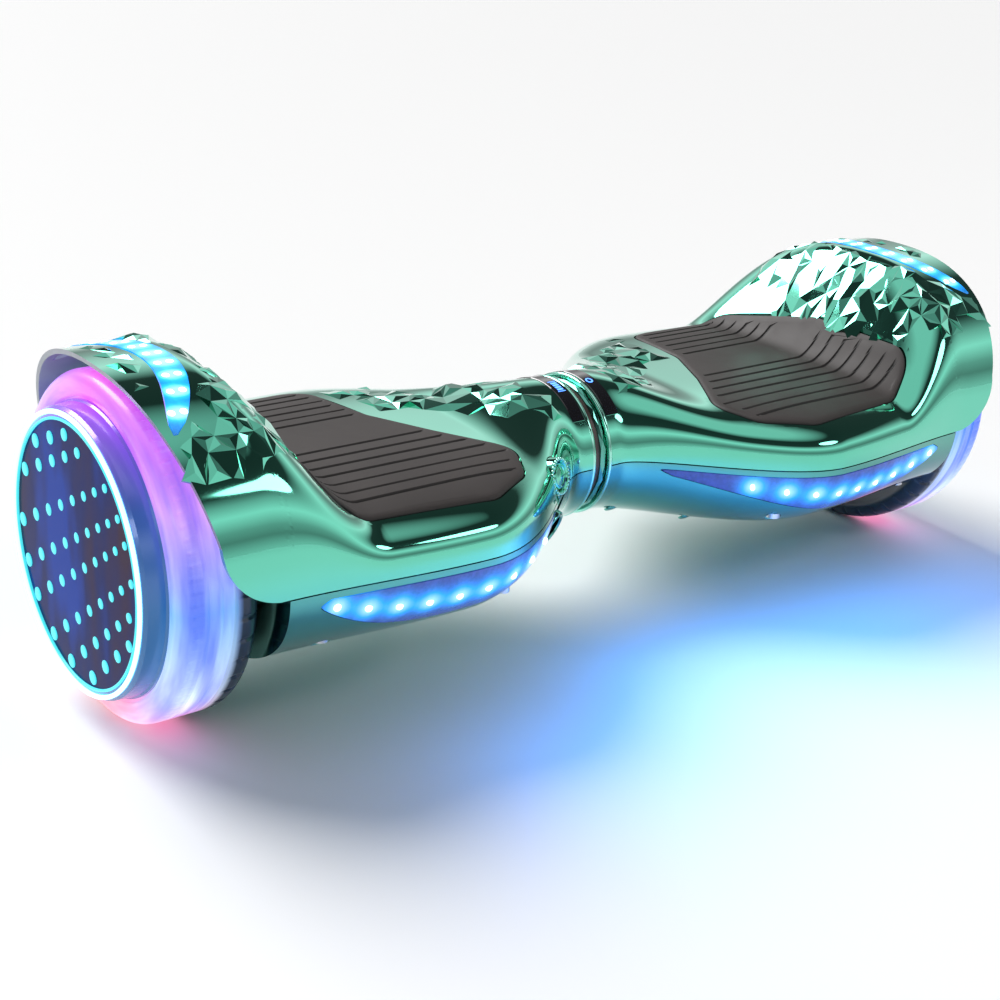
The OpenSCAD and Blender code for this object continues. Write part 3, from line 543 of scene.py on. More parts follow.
CAD_FINISH = {
    "chrome_shell": MINT, "chrome_cover": SHADED_MINT, "chrome_trim": SILVER, "pad_rubber": PAD,
    "blue_lens": LENS, "led_white": LED, "led_cyan": RING, "black_gloss": BLACK, "lit_tyre": GLOW_TYRE,
    "blue_bezel": DRUM, "dark_mirror": MIRROR, "cap_glass": MIRROR, "sleeve_brown": SLEEVE,
    "cast_frame": surface("cast_aluminium", (0.55, 0.56, 0.58), (0.66, 0.67, 0.69), 1.0, 0.35, 0.5),
    "dark_steel": surface("blackened_steel", (0.10, 0.10, 0.11), (0.16, 0.16, 0.17), 1.0, 0.3, 0.45),
    "bright_steel": surface("turned_steel", (0.55, 0.56, 0.58), (0.66, 0.66, 0.68), 1.0, 0.18, 0.3),
    "windings": surface("copper_wire", (0.50, 0.20, 0.07), (0.62, 0.28, 0.10), 0.9, 0.3, 0.5),
    "board_green": surface("solder_mask", (0.02, 0.12, 0.05), (0.03, 0.17, 0.07), low=0.25, high=0.4),
    "dark_rim": surface("painted_rim", (0.02, 0.02, 0.03), (0.04, 0.04, 0.05), 0.6, 0.3, 0.45),
    "magnet_grey": surface("nickel", (0.42, 0.42, 0.44), (0.52, 0.52, 0.54), 1.0, 0.25, 0.4),
    "bush_bronze": surface("bronze", (0.60, 0.38, 0.14), (0.70, 0.46, 0.18), 1.0, 0.25, 0.4),
    "battery_wrap": surface("shrink_wrap", (0.02, 0.06, 0.30), (0.03, 0.09, 0.38), low=0.15, high=0.3, coat=0.5),
    "cell_body": surface("cell_wrap", (0.05, 0.22, 0.14), (0.07, 0.28, 0.18), low=0.2, high=0.35),
    "black_matte": DARK,
    "cable_rubber": surface("cable_rubber", (0.01, 0.01, 0.01), (0.02, 0.02, 0.02), low=0.5, high=0.65),
}


def dress_cad_nodes():
    slots = {part["node"]: part["material_slot"] for part in frame["record"]["subparts"]}
    for name, obj in frame["nodes"].items():
        obj.data.materials.clear()
        obj.data.materials.append(CAD_FINISH[slots[name]])
        obj.data.set_sharp_from_angle(angle=math.radians(30))


# ---------------------------------------------------------------- shell solids
ROUND_STEPS = 132


def stations(low, high, step=2.4):
    count = max(2, int((high - low) / step))
    return [mix(low, high, i / count) for i in range(count + 1)]


def upper_ring(u, t, steps, low):
    ring = [(u, -half_w(u) + t, PART_Z - low)] if low else []
    for i in range(steps + 1):
        c, s = lobe(math.pi * i / steps, top_power(u))
        ring.append((u, -(half_w(u) - t) * c, PART_Z + (rise(u) - t) * s))
    return ring + ([(u, half_w(u) - t, PART_Z - low)] if low else [])


def lower_ring(u, t, steps, high):
    ring = [(u, half_w(u) - t, PART_Z + high)] if high else []
    for i in range(steps + 1):
        c, s = lobe(math.pi * i / steps, low_power(u))
        depth = (drop(u) - t) * s
        soft = BELLY_FLAT - t
        depth = depth if depth < soft - 3 else soft - 3 + 3 * (1 - math.exp(-(depth - soft + 3) / 3))
        ring.append((u, (half_w(u) - t) * c, PART_Z - depth))
    return ring + ([(u, -half_w(u) + t, PART_Z + high)] if high else [])


def upper(t=0.0, low=0.0, start=SHELL_U, end=LIP_U, steps=ROUND_STEPS, step=2.4):
    return loft("upper", [upper_ring(u, t, steps, low) for u in stations(start, end, step)])


def lower(t=0.0, high=0.0, start=SHELL_U, end=WELL_U, steps=ROUND_STEPS, step=2.4):
    return loft("lower", [lower_ring(u, t, steps, high) for u in stations(start, end, step)])


# outlines in plan
PAD_FRONT, PAD_REAR = BULGE_W - 18, BULGE_W - 27
PAD_CORNERS = [(PAD_U - 4, -50), (PAD_U + 8, -half_w(PAD_U + 8) + 16), (PAD_U + 38, -PAD_FRONT - 2),
               (RAMP_IN + 5, -PAD_FRONT + 4), (RAMP_IN + 27, -PAD_FRONT + 14), (RAMP_IN + 24, 0),
               (RAMP_IN + 12, PAD_REAR), (PAD_U + 46, PAD_REAR), (PAD_U + 38, 24), (PAD_U + 20, -12)]
PAD_PLAY, PAD_PROUD, PAD_T, RECESS, TUB = 0.8, 1.2, 4.1, 6.0, 2.2


def pad_outline(grow=0.0):
    return fillet(PAD_CORNERS, 18, 10, grow)


STRIP_U, STRIP_BOW, STRIP_HALF, STRIP_END = TYRE_IN + 10.5, 0.0053, 7, 62


def strip_at(y):
    return STRIP_U + STRIP_BOW * y * y


def strip_outline(grow=0.0):
    rows = [i / 12 - 1 for i in range(25)]
    end = STRIP_END + grow

    def edge(t, way):
        return strip_at(end * t) + way * (STRIP_HALF + grow) * math.sqrt(1.02 - t ** 4), end * t
    return [edge(t, -1) for t in rows] + [edge(t, 1) for t in reversed(rows)]


LAMP_IN, LAMP_OUT, LAMP_TOP, LAMP_DEEP = WAIST_U + 19, WELL_U - 15, PART_Z - 4, 24


def lamp_low(u):
    t = (u - LAMP_IN) / (LAMP_OUT - LAMP_IN)
    return LAMP_TOP - 2 - LAMP_DEEP * math.sin(math.pi * t ** 1.4) ** 0.8 if 0 < t < 1 else LAMP_TOP - 2


def lamp_outline(grow=0.0):
    low = [(u, lamp_low(u)) for u in (mix(LAMP_IN, LAMP_OUT, i / 28) for i in range(1, 28))]
    return fillet([(LAMP_IN, LAMP_TOP)] + low + [(LAMP_OUT, LAMP_TOP - 3), (LAMP_OUT - 6, LAMP_TOP)], 2.0, 3, grow)


LIP_FOOT, LIP_STEPS = 30, 16
WINDOW_HALF = 50                               # degrees from the top of the collar
SHOULDER_U, SHOULDER_YAW, BUTTON_UP, SOCKET_DOWN = 54, 25, 14, 15
BEZEL_R, SOCKET_R = 10, 9.5
SCREWS = [(u, y) for u in (BULGE_U - 7, (BULGE_U + WELL_U) / 2 - 18, WELL_U - 27) for y in (-80, 80)]
ABOVE_ALL = PART_Z + FENDER_RISE * 2


def lip_prism():
    """What is cut from the shell's end to leave the fender's curved lip."""
    angles = [math.pi / 2 * i / LIP_STEPS for i in range(1, LIP_STEPS + 1)]
    curve = [(mix(WELL_U, LIP_U - LIP_LEAN, math.sin(a)), PART_Z + LIP_FOOT * (1 - math.cos(a))) for a in angles]
    top = PART_Z + FENDER_RISE + 2
    outline = [(WELL_U, PART_Z - 2), (WELL_U, PART_Z)] + curve
    outline += [(LIP_U + 0.02, top), (LIP_U + 40, top), (LIP_U + 40, PART_Z - 2)]
    return prism("lip", outline, -BULGE_W - 30, BULGE_W + 30, "xz")


def shoulder_frame(up, height, power, tilt):
    """Placement on the front shoulder: local +Z faces inwards, forwards and up by tilt degrees."""
    y = -superellipse(half_w(SHOULDER_U), abs(up) / height, power)
    turn = Matrix.Rotation(math.radians(90 - tilt), 4, "X") @ Matrix.Rotation(math.radians(-SHOULDER_YAW), 4, "Y")
    return Matrix.Translation((SHOULDER_U, y, PART_Z + up)) @ turn


AT_BUTTON = shoulder_frame(BUTTON_UP, rise(SHOULDER_U), top_power(SHOULDER_U), 16)
AT_SOCKET = shoulder_frame(-SOCKET_DOWN, drop(SHOULDER_U), low_power(SHOULDER_U), -22)


def plug(radius, length, place, steps=64):
    obj = prism("plug", circle(radius, steps), -length / 2, length / 2)
    obj.data.transform(place)
    return obj


def top_shell_solid():
    shell = upper()
    tub = combine(prism("tub", pad_outline(PAD_PLAY + TUB), PART_Z, ABOVE_ALL), upper(), "INTERSECT")
    sunk = lifted(upper(low=20), -RECESS)
    combine(tub, lifted(copy_of(sunk), -TUB))
    combine(shell, upper(t=WALL, low=1, start=SHELL_U - 1, end=LIP_U + 1, steps=72, step=4))
    combine(shell, tub, "UNION")
    combine(shell, combine(prism("hollow", pad_outline(PAD_PLAY), PART_Z, ABOVE_ALL), sunk))
    combine(shell, lip_prism())
    combine(shell, prism("slot", strip_outline(0.4), PART_Z + 20, ABOVE_ALL))
    bulkhead = slab(WELL_U - WALL, WELL_U, -BULGE_W, BULGE_W, PART_Z + SEAM, PART_Z + FENDER_RISE)
    combine(shell, combine(bulkhead, upper(), "INTERSECT"), "UNION")
    return combine(shell, slab(0, 400, -200, 200, 0, PART_Z + SEAM))


def bottom_cover_solid():
    cover = lower()
    combine(cover, lower(t=WALL, high=1, start=SHELL_U - 1, end=WELL_U - WALL, steps=72, step=4))
    combine(cover, prism("lamp", lamp_outline(0.4), -20, -BULGE_W - 20, "xz"))
    combine(cover, slab(0, 400, -200, 200, PART_Z - SEAM, 200))
    for screw in SCREWS:
        combine(cover, plug(4.6, 60, Matrix.Translation((*screw, PART_Z - 31 - 30)), 32))
    return combine(cover, lathe_disc(21, WELL_U - 10, WELL_U + 10))


def lathe_disc(radius, low, high):
    return lathe("disc", [(0, 0), (radius, 0), (radius, high - low), (0, high - low)], low, steps=64)


# ---------------------------------------------------------------- facets
def facet_sheet(name, mask, u_range, y_range, cell, tall, lift, seed):
    """Low triangular relief over the shell: a jittered lattice, kept where mask says so."""
    rng = random.Random(seed)
    rows = int((y_range[1] - y_range[0]) / tall)
    columns = int((u_range[1] - u_range[0]) / cell)
    points, heights = {}, {}
    for j in range(rows + 1):
        for i in range(columns + 1):
            u = u_range[0] + (i + (j % 2) / 2) * cell + rng.uniform(-0.32, 0.32) * cell
            y = y_range[0] + j * tall + rng.uniform(-0.3, 0.3) * tall
            points[i, j] = (u, y)
            heights[i, j] = rng.choice((0.0, 0.3, 1.0)) * lift
    triangles = []
    for j in range(rows):
        for i in range(columns):
            a, b, c, d = (i, j), (i + 1, j), (i, j + 1), (i + 1, j + 1)
            triangles += [(a, b, d), (a, d, c)] if j % 2 else [(a, b, c), (b, d, c)]
    kept = []
    for tri in triangles:
        cu = sum(points[k][0] for k in tri) / 3
        cy = sum(points[k][1] for k in tri) / 3
        if mask(cu, cy) > rng.random() and all(mask(*points[k]) > -0.5 for k in tri):
            kept.append(tri)
    index, verts = {}, []
    for k, uses in Counter(k for tri in kept for k in tri).items():
        u, y = points[k]
        h = -0.15 if uses < 4 else heights[k]
        normal = skin_normal(u, y)
        p = Vector((u, y, surface_z(u, y)))
        index[k] = len(verts)
        verts += [p + normal * h, p - normal * 1.6]
    faces, borders = [], {}
    for tri in kept:
        top = [index[k] for k in tri]
        faces.append(top)
        faces.append([v + 1 for v in reversed(top)])
        for p, q in zip(top, top[1:] + top[:1]):
            borders[frozenset((p, q))] = borders.get(frozenset((p, q)), []) + [(p, q)]
    for edge in borders.values():
        if len(edge) == 1:
            p, q = edge[0]
            faces.append([q, p, p + 1, q + 1])
    return split_tops(outwards(new_object(name, verts, faces)), lift, seed)


def split_tops(obj, lift, seed):
    """Gives some of the larger facets a peak of their own."""
    rng = random.Random(seed + 1)
    bm = bmesh.new()
    bm.from_mesh(obj.data)
    tops = [f for f in bm.faces if len(f.verts) == 3 and f.normal.z > 0.05]
    for face in tops:
        if rng.random() < 0.45:
            done = bmesh.ops.poke(bm, faces=[face])
            done["verts"][0].co += face_normal(done["faces"]) * lift * rng.uniform(0.3, 0.8)
    bm.to_mesh(obj.data)
    bm.free()
    return obj


def face_normal(faces):
    total = Vector()
    for f in faces:
        f.normal_update()
        total += f.normal
    return total.normalized()


def skin_normal(u, y):
    e = 0.4
    du = surface_z(u + e, y) - surface_z(u - e, y)
    dy = surface_z(u, y + e) - surface_z(u, y - e)
    return Vector((-du / (2 * e), -dy / (2 * e), 1)).normalized()


def inside(outline, u, y):
    hit = False
    for (x1, y1), (x2, y2) in zip(outline, outline[1:] + outline[:1]):
        if (y1 > y) != (y2 > y) and u < (x2 - x1) * (y - y1) / (y2 - y1) + x1:
            hit = not hit
    return hit


def distance_to(outline, u, y):
    best = 1e9
    for (x1, y1), (x2, y2) in zip(outline, outline[1:] + outline[:1]):
        length = (x2 - x1) ** 2 + (y2 - y1) ** 2
        t = 0 if length == 0 else max(0, min(1, ((u - x1) * (x2 - x1) + (y - y1) * (y2 - y1)) / length))
        best = min(best, math.hypot(u - x1 - t * (x2 - x1), y - y1 - t * (y2 - y1)))
    return best


PAD_EDGE = pad_outline(PAD_PLAY)
STRIP_EDGE = strip_outline(0.4)


def waist_mask(u, y):
    """1 in the band from the collars back along the pad, fading to its edges, and -1 where facets must not be."""
    if u < 18 or abs(y) > half_w(u) * 0.86 or inside(PAD_EDGE, u, y) or distance_to(PAD_EDGE, u, y) < 2.5:
        return -1
    centre = mix(0, 56, smooth((u - 22) / 92))
    reach = mix(34, 24, smooth((u - 20) / 90))
    return 1.9 - abs(y - centre) / reach * 1.7 if u < 122 else 0


def fender_mask(u, y):
    if inside(STRIP_EDGE, u, y) or distance_to(STRIP_EDGE, u, y) < 1.2 or u > LIP_U - 3:
        return -1
    if abs(y) > half_w(u) * 0.84 or y > 70 or surface_z(u, y) - PART_Z < FENDER_RISE * 0.42:
        return -1
    if skin_normal(u, y).z < 0.34:
        return -1
    if u > strip_at(y):
        return 2.4
    return 2.9 - (strip_at(y) - 8 - u) / 20


# ---------------------------------------------------------------- pads
GROOVES = [-70, -61, -51, -41, -31, -21, -11, 26, 35, 44, 53, 62, 70]


def groove_depth(u, y, edge):
    """How far the pad's top is cut at a point: grooves run along u and stop short of the rim."""
    if edge < 5.5:
        return 0.0
    bend = 0.005 * max(0.0, u - RAMP_IN - 6) ** 1.9
    for g in GROOVES:
        if abs(y - g - bend * (1 if g < 0 else 0.2)) < 0.8:
            return 1.1
    return 0.0


def pad_solid():
    outline = pad_outline(0)
    inner = [fillet(PAD_CORNERS, 18, 10, -d) for d in (0.5, 1.4, 3.0)]
    points, heights, edges = [], [], []
    for ring, fall in zip([outline] + inner, (1.2, 0.55, 0.15, 0.0)):
        start = len(points)
        points += ring
        heights += [-fall] * len(ring)
        edges += [(start + i, start + (i + 1) % len(ring)) for i in range(len(ring))]
    u0, u1 = min(p[0] for p in outline), max(p[0] for p in outline)
    y0, y1 = min(p[1] for p in outline), max(p[1] for p in outline)
    y = y0 + 1
    while y < y1:
        u = u0 + 1
        while u < u1:
            if inside(inner[2], u, y) and distance_to(inner[2], u, y) > 0.7:
                points.append((u, y))
                heights.append(-groove_depth(u, y, distance_to(outline, u, y)))
            u += 2.6
        y += 0.62
    verts2, _, tris, _, _, _ = delaunay_2d_cdt([Vector(p) for p in points], edges, [], 1, 1e-5)
    count = len(verts2)
    tops = [(v.x, v.y, surface_z(v.x, v.y) + PAD_PROUD + heights[i] if i < len(heights) else 0)
            for i, v in enumerate(verts2)]
    verts = tops + [(v.x, v.y, surface_z(v.x, v.y) + PAD_PROUD - PAD_T) for v in verts2]
    faces = [tuple(t) for t in tris] + [tuple(i + count for i in reversed(t)) for t in tris]
    piece = new_object("pad", verts, faces + band(0, count, len(outline)))
    # The cut attribute marks the groove points, which the pad material darkens as painted shade.
    field = piece.data.attributes.new("cut", "FLOAT", "POINT")
    for i, depth in enumerate(heights):
        field.data[i].value = 1.0 if depth < -0.9 else 0.0
    return outwards(piece)


# ---------------------------------------------------------------- lamps
LAMP_LEDS, STRIP_LEDS = 9, 9


def lamp_led_places():
    for i in range(LAMP_LEDS):
        u = mix(BULGE_U - 30, LAMP_OUT - 9, i / (LAMP_LEDS - 1))
        z = (LAMP_TOP + lamp_low(u)) / 2
        yield Vector((u, -superellipse(half_w(u), (PART_Z - z) / drop(u), low_power(u)), z))


def strip_led_places():
    for i in range(STRIP_LEDS):
        y = (i - (STRIP_LEDS - 1) / 2) * 13.0
        for row in (-1, 1):
            u = strip_at(y) + row * 3
            yield Vector((u, y, surface_z(u, y)))


def add_glow(obj, places, width):
    field = obj.data.attributes.new("glow", "FLOAT", "POINT")
    spots = [tuple(p) for p in places]
    for v in obj.data.vertices:
        near = sum(math.exp(-sum((a - b) ** 2 for a, b in zip(v.co, s)) / width ** 2) for s in spots)
        field.data[v.index].value = min(1.0, near)


def dome(place, normal, radius, height):
    """Verts and faces of a small dome standing on a surface."""
    steps = 16
    profile = [(radius, -0.6), (radius, 0.1)]
    profile += [(radius * math.cos(a), 0.1 + height * math.sin(a)) for a in (0.35, 0.7, 1.05, 1.35)]
    verts = [(a, b, h) for r, h in profile for a, b in circle(r, steps)] + [(0, 0, 0.1 + height), (0, 0, -0.6)]
    last = (len(profile) - 1) * steps
    faces = [face for at in range(0, last, steps) for face in band(at, at + steps, steps)]
    faces += [(last + i, last + (i + 1) % steps, last + steps) for i in range(steps)]
    faces += [((i + 1) % steps, i, last + steps + 1) for i in range(steps)]
    turn = Vector((0, 0, 1)).rotation_difference(Vector(normal)).to_matrix().to_4x4()
    placed = Matrix.Translation(place) @ turn
    return [placed @ Vector(v) for v in verts], faces


def beads(name, spots):
    """Many domes in one object: spots are (place, normal, radius, height)."""
    return joined(name, [dome(*spot) for spot in spots])


def studs(name, place, radius, count, level, size, height):
    """Domes in a circle about a placement's own Z."""
    up = place.to_3x3() @ Vector((0, 0, 1))
    return beads(name, [(place @ Vector((a, b, level)), up, size, height) for a, b in circle(radius, count)])


# ---------------------------------------------------------------- wheels
TREAD_STEPS = 540


def tyre_solid():
    width, shoulder = TYRE_OUT - TYRE_IN, 8
    profile = [(RIM_R, 2), (CAP_R + 4, 1.5), (CAP_R + 6, 0.4)]
    profile += arc(WHEEL_R - shoulder, shoulder, shoulder, -90, 0, 10)
    for at in (14, 21, 28):
        profile += [(WHEEL_R, at - 1.2), (WHEEL_R - 1.3, at - 0.8), (WHEEL_R - 1.3, at + 0.8), (WHEEL_R, at + 1.2)]
    profile += arc(WHEEL_R - shoulder, width - shoulder, shoulder, 0, 90, 12)
    profile += [(CAP_R + 5, width - 0.2), (CAP_R + 3.8, width - 1.2), (CAP_R + 3.6, width - 3.4), (RIM_R, width - 3.4)]

    def radius_at(r, h, j):
        if r > WHEEL_R - 6 and h < 11:
            return r - (1.1 if j % 12 < 2 else 0)
        if r > WHEEL_R - 0.4 and (16 < h < 19 or 23 < h < 26 or h > 31):
            return r - (0.7 if j % 6 < 1 else 0)
        return r
    return lathe("tyre", profile, TYRE_IN, steps=TREAD_STEPS, radius_at=radius_at)


def drum_solid():
    depth = CAP_FACE - CAP_BACK
    profile = [(RIM_R - 8, 0), (CAP_R + 2.5, 0), (CAP_R + 2.5, 1.6), (CAP_R + 1.6, 2.6), (CAP_R + 0.9, depth - 5),
               (CAP_R - 0.2, depth - 3.4), (CAP_R - 1.2, depth - 3.0), (CAP_R - 4.4, depth - 3.0),
               (CAP_R - 4.4, depth - 5), (CAP_R - 3, depth - 6), (CAP_R - 3, 2.5), (RIM_R - 8, 2.5)]
    return lathe("drum", profile, CAP_BACK)


def ring_solid(radius, thick):
    """A light line set in the drum's front face."""
    return lathe("ring", arc(radius, CAP_FACE - CAP_BACK - 3.0 + thick * 0.6, thick, 0, 340, 17), CAP_BACK)


def mirror_solid():
    face = CAP_FACE - 3.2
    profile = [(0, -2), (CAP_R - 4.6, -2), (CAP_R - 4.6, 0)]
    profile += [((CAP_R - 4.6) * (1 - i / 8), 0.5 * math.sin(math.pi / 2 * i / 8)) for i in range(1, 9)]
    return lathe("mirror", profile, face, steps=128)


# Rows of the painted reflections on the mirror face.
ROW_STARTS = [47, 24, -4, -24, -41, -63, -83, -106]
ROW_STEP, ROW_SHRINK, DOT_R = 18.5, 0.93, 3.5


def painted_mirror_reflections():
    """Rows of painted reflections: glowing dots in place of the rim emitters' reflections in the mirror. Each row
    starts at an emitter on the rim and gets closer and smaller across the face.
    """
    spots = []
    for k, start in enumerate(ROW_STARTS):
        a, way = math.radians(start), math.radians(157 - 2.6 * k)
        at, step, size = Vector((math.cos(a), math.sin(a))) * (CAP_R - 10), ROW_STEP, DOT_R
        while at.length < CAP_R - 6 - size:
            spots.append((Vector((CAP_FACE - 3.2 + 0.4, at.x, AXLE_Z + at.y)), Vector((1, 0, 0)), size, 0.3))
            at = at + Vector((math.cos(way), math.sin(way))) * step
            step, size = step * ROW_SHRINK, size * ROW_SHRINK
    return beads("dots", spots)


def cover_tabs():
    """Small chrome half moons under the lower cover's front edge."""
    spots = []
    for u in (WAIST_U + 12, PAD_U - 5, PAD_U + 62):
        c, s = lobe(math.radians(62), low_power(u))
        at = Vector((u, -half_w(u) * c, PART_Z - min(drop(u) * s, BELLY_FLAT)))
        spots.append((at, Vector((0, -c, -0.7)), 4.2, 1.2))
    return beads("tabs", spots)


# ---------------------------------------------------------------- centre and controls
def edge_ring(u):
    return lathe("edge", arc(WAIST_R - 0.9, 0, 1.3, 0, 330, 11), u, PART_Z, 160)


def faceted_ring(u0, u1, radius):
    """A ring of triangular facets between two edges."""
    count, rows = 26, 3
    verts, faces = [], []
    for j in range(rows + 1):
        for i, (c, s) in enumerate(circle(1, count, (j % 2) / 2)):
            r = radius + (0.7 if j in (1, 2) else 0) - (0.5 if (i + j) % 2 else 0)
            verts.append((mix(u0, u1, j / rows), r * c, PART_Z + r * s))
    inner = len(verts)
    verts += [(u, a, PART_Z + b) for u in (u0, u1) for a, b in circle(radius - 2, count)]
    for j in range(rows):
        for a, b, d, c in band(j * count, (j + 1) * count, count):
            faces += [(a, b, c), (b, d, c)] if j % 2 == 0 else [(a, b, d), (a, d, c)]
    for first, second in ((0, inner), (rows * count, inner + count), (inner, inner + count)):
        faces += band(first, second, count)
    return outwards(new_object("facets", verts, faces))


def local_lathe(name, profile, place):
    """A closed (radius, height) profile turned about local Z and then placed."""
    obj = lathe(name, profile, 0, 0, 96)
    obj.data.transform(place @ Matrix.Rotation(math.radians(-90), 4, "Y"))
    return outwards(obj)


def button_parts():
    bezel = [(7.3, -10), (9.9, -10), (9.9, 0.6), (9.6, 1.6), (8.9, 2.0), (8.2, 1.7), (7.6, 0.7), (7.3, 0)]
    cap = [(0, -4), (6.9, -4), (6.9, 0.6), (6.6, 1.4), (6.0, 1.9), (5.4, 1.9), (5.0, 1.5), (4.6, 1.5), (3.2, 2.0),
           (1.6, 2.3), (0, 2.4)]
    return local_lathe("bezel", bezel, AT_BUTTON), local_lathe("cap", cap, AT_BUTTON)


def socket_part():
    profile = [(5, -4.5), (7, -4.5), (7, 0.6), (7.5, 1.3), (8.4, 1.5), (9.1, 1.1), (9.5, 0.3), (9.5, -18), (0, -18),
               (0, -15), (5, -15)]
    return local_lathe("socket", profile, AT_SOCKET)


def bend(section, a0, a1, steps):
    """Rings of a (u, radius) section carried round the twist axis from a0 to a1 degrees."""
    angles = [math.radians(mix(a0, a1, i / steps)) for i in range(steps + 1)]
    return [[(u, -r * math.cos(a), PART_Z + r * math.sin(a)) for u, r in section] for a in angles]


def window_solid():
    """The glossy window round the top of the collar, just proud of the shell."""
    u0, u1, low, high = SHELL_U + 2.6, SHELL_U + 11.4, WAIST_R - 1, WAIST_R + 0.45
    section = [(u0, low), (u0, high - 0.3), (u0 + 0.4, high), (u1 - 0.4, high), (u1, high - 0.3), (u1, low)]
    return loft("window", bend(section, 90 - WINDOW_HALF, 90 + WINDOW_HALF, 64))


def icon_marks(kind):
    """Small lit marks on an indicator window: bars in a frame, or a ring."""
    if kind == "bars":                         # each patch: angles from and to, u from and to, steps
        patches = [(71.0 + i * 2.9, 72.9 + i * 2.9, 9.6, 13.4, 2) for i in range(4)]
        patches += [(a, a + 0.6, 9.0, 14.0, 1) for a in (69.2, 83.2)]
    else:
        patches = [(76 + 2.6 * s - 0.5, 76 + 2.6 * s + 0.5, 11.5 + 1.8 * c - 0.35, 11.5 + 1.8 * c + 0.35, 1)
                   for c, s in circle(1, 20, 0.5)]
    low, high = WAIST_R - 0.3, WAIST_R + 0.6
    return joined("icon", [tube(bend([(u0, low), (u1, low), (u1, high), (u0, high)], a0, a1, steps))
                           for a0, a1, u0, u1, steps in patches])


# ---------------------------------------------------------------- assembly
def build_half(side, top, cover, pad, lens, strip):
    half, wheel = f"{side}_half", f"{side}_wheel"

    def put(obj, name, body, mat, sharp=32, replaced=()):
        finish_piece(obj, f"{side}_{name}", body, mat, SIDES[side], sharp, [f"{side}_{r}" for r in replaced])
    if side == "left":
        combine(lens, plug(SOCKET_R + 3, 60, AT_SOCKET))
        combine(lens, slab(0, SHOULDER_U + 2, -200, 0, 0, 200))
        combine(top, plug(BEZEL_R + 0.3, 40, AT_BUTTON))
        combine(cover, plug(SOCKET_R + 0.3, 40, AT_SOCKET))
    put(top, "upper_skin", half, MINT, 30, ["top_shell"])
    paint_inside(top)
    put(cover, "lower_skin", half, SHADED_MINT, 30, ["bottom_cover"])
    put(pad, "pad_mat", f"{side}_pedal", PAD, 26, ["foot_pad"])
    put(lens, "lamp_glass", half, LENS, 30, ["headlight_lens"])
    put(strip, "strip_glass", half, STRIP, 30, ["fender_light"])
    seed = 7 if side == "left" else 19
    waist = facet_sheet("waist", waist_mask, (17, 130), (-60, 86), 12.0, 9.6, 1.9, seed)
    put(waist, "waist_facets", half, MINT, 0)
    fender = facet_sheet("fender", fender_mask, (RAMP_IN + 12, LIP_U - 1), (-88, 76), 9.5, 7.6, 1.9, seed + 40)
    put(fender, "fender_facets", half, MINT, 0)
    emitters = [(p + Vector((0, -0.25, 0)), (0, -1, 0), 2.0, 0.5) for p in lamp_led_places()
                if side == "right" or p.x > SHOULDER_U + 14]
    put(beads("emitters", emitters), "lamp_emitters", half, LED)
    lights = [(p + Vector((0, 0, 0.3)), skin_normal(p.x, p.y), 1.8, 0.5) for p in strip_led_places()]
    put(beads("lights", lights), "strip_emitters", half, LED, replaced=["led_strips"])
    put(tyre_solid(), "tyre_skin", wheel, GLOW_TYRE, 40, ["tyre"])
    put(drum_solid(), "cap_drum", wheel, DRUM, 24, ["cap_housing"])
    put(ring_solid(CAP_R - 1.5, 1.1), "cap_ring", wheel, RING, 60)
    put(ring_solid(CAP_R - 4.7, 0.7), "cap_inner_ring", wheel, DOT, 60)
    put(mirror_solid(), "mirror_face", wheel, MIRROR, 30, ["cap_glass", "cap_mirror", "cap_led_ring"])
    put(painted_mirror_reflections(), "painted_mirror_reflections", wheel, DOT)
    put(edge_ring(SHELL_U + 0.9), "collar_edge", half, SILVER, 60)
    put(window_solid(), "window", half, BLACK, 30, ["indicator_window"])
    put(cover_tabs(), "cover_tabs", half, SHADED_MINT, 40)
    put(icon_marks("bars" if side == "left" else "ring"), "window_icon", half, ICON, 0)


def paint_inside(top):
    """Gives the wheel arch's inner wall its own grey."""
    top.data.materials.append(INNER)
    for face in top.data.polygons:
        c = face.center
        out = Vector((0, c.y, c.z - AXLE_Z * MM)).normalized()
        if abs(c.x) > WELL_U * MM and face.normal.dot(out) < -0.2:
            face.material_index = 1


def strip_solid():
    piece = prism("strip", strip_outline(0), PART_Z + 20, ABOVE_ALL)
    proud, thick = 0.4, 2
    combine(piece, combine(lifted(upper(), proud), lifted(upper(low=20), proud - thick)), "INTERSECT")
    add_glow(piece, strip_led_places(), 5.0)
    return piece


def lens_solid():
    skin = lower(t=-0.3)
    combine(skin, lower(t=2, high=1, start=SHELL_U - 1, end=WELL_U + 1))
    piece = combine(prism("lens", lamp_outline(0), -20, -BULGE_W - 20, "xz"), skin, "INTERSECT")
    add_glow(piece, lamp_led_places(), 7.5)
    return piece


def build_all():
    dress_cad_nodes()
    parts = [top_shell_solid(), bottom_cover_solid(), pad_solid(), lens_solid(), strip_solid()]
    twins = [copy_of(p) for p in parts]
    build_half("right", *parts)
    build_half("left", *twins)
    bezel, cap = button_parts()
    finish_piece(bezel, "button_ring", "left_half", MINT, -1, 30, ["button_bezel"])
    finish_piece(cap, "button_face", "power_button", MINT, -1, 30, ["power_button"])
    finish_piece(studs("beads", AT_BUTTON, 9.0, 28, 1.9, 0.75, 0.6), "button_beads", "left_half", SILVER,
                 -1)
    finish_piece(socket_part(), "socket_ring", "left_half", SHADED_MINT, -1, 30, ["charge_socket"])
    finish_piece(studs("pins", AT_SOCKET, 2.8, 3, -15.2, 1.0, 9.2), "socket_pins", "left_half", SILVER,
                 -1)
    finish_piece(faceted_ring(0.9, SHELL_U - 0.2, 37.6), "centre_facets", "right_half", SHADED_MINT, 1, 0,
                 ["centre_ring"])


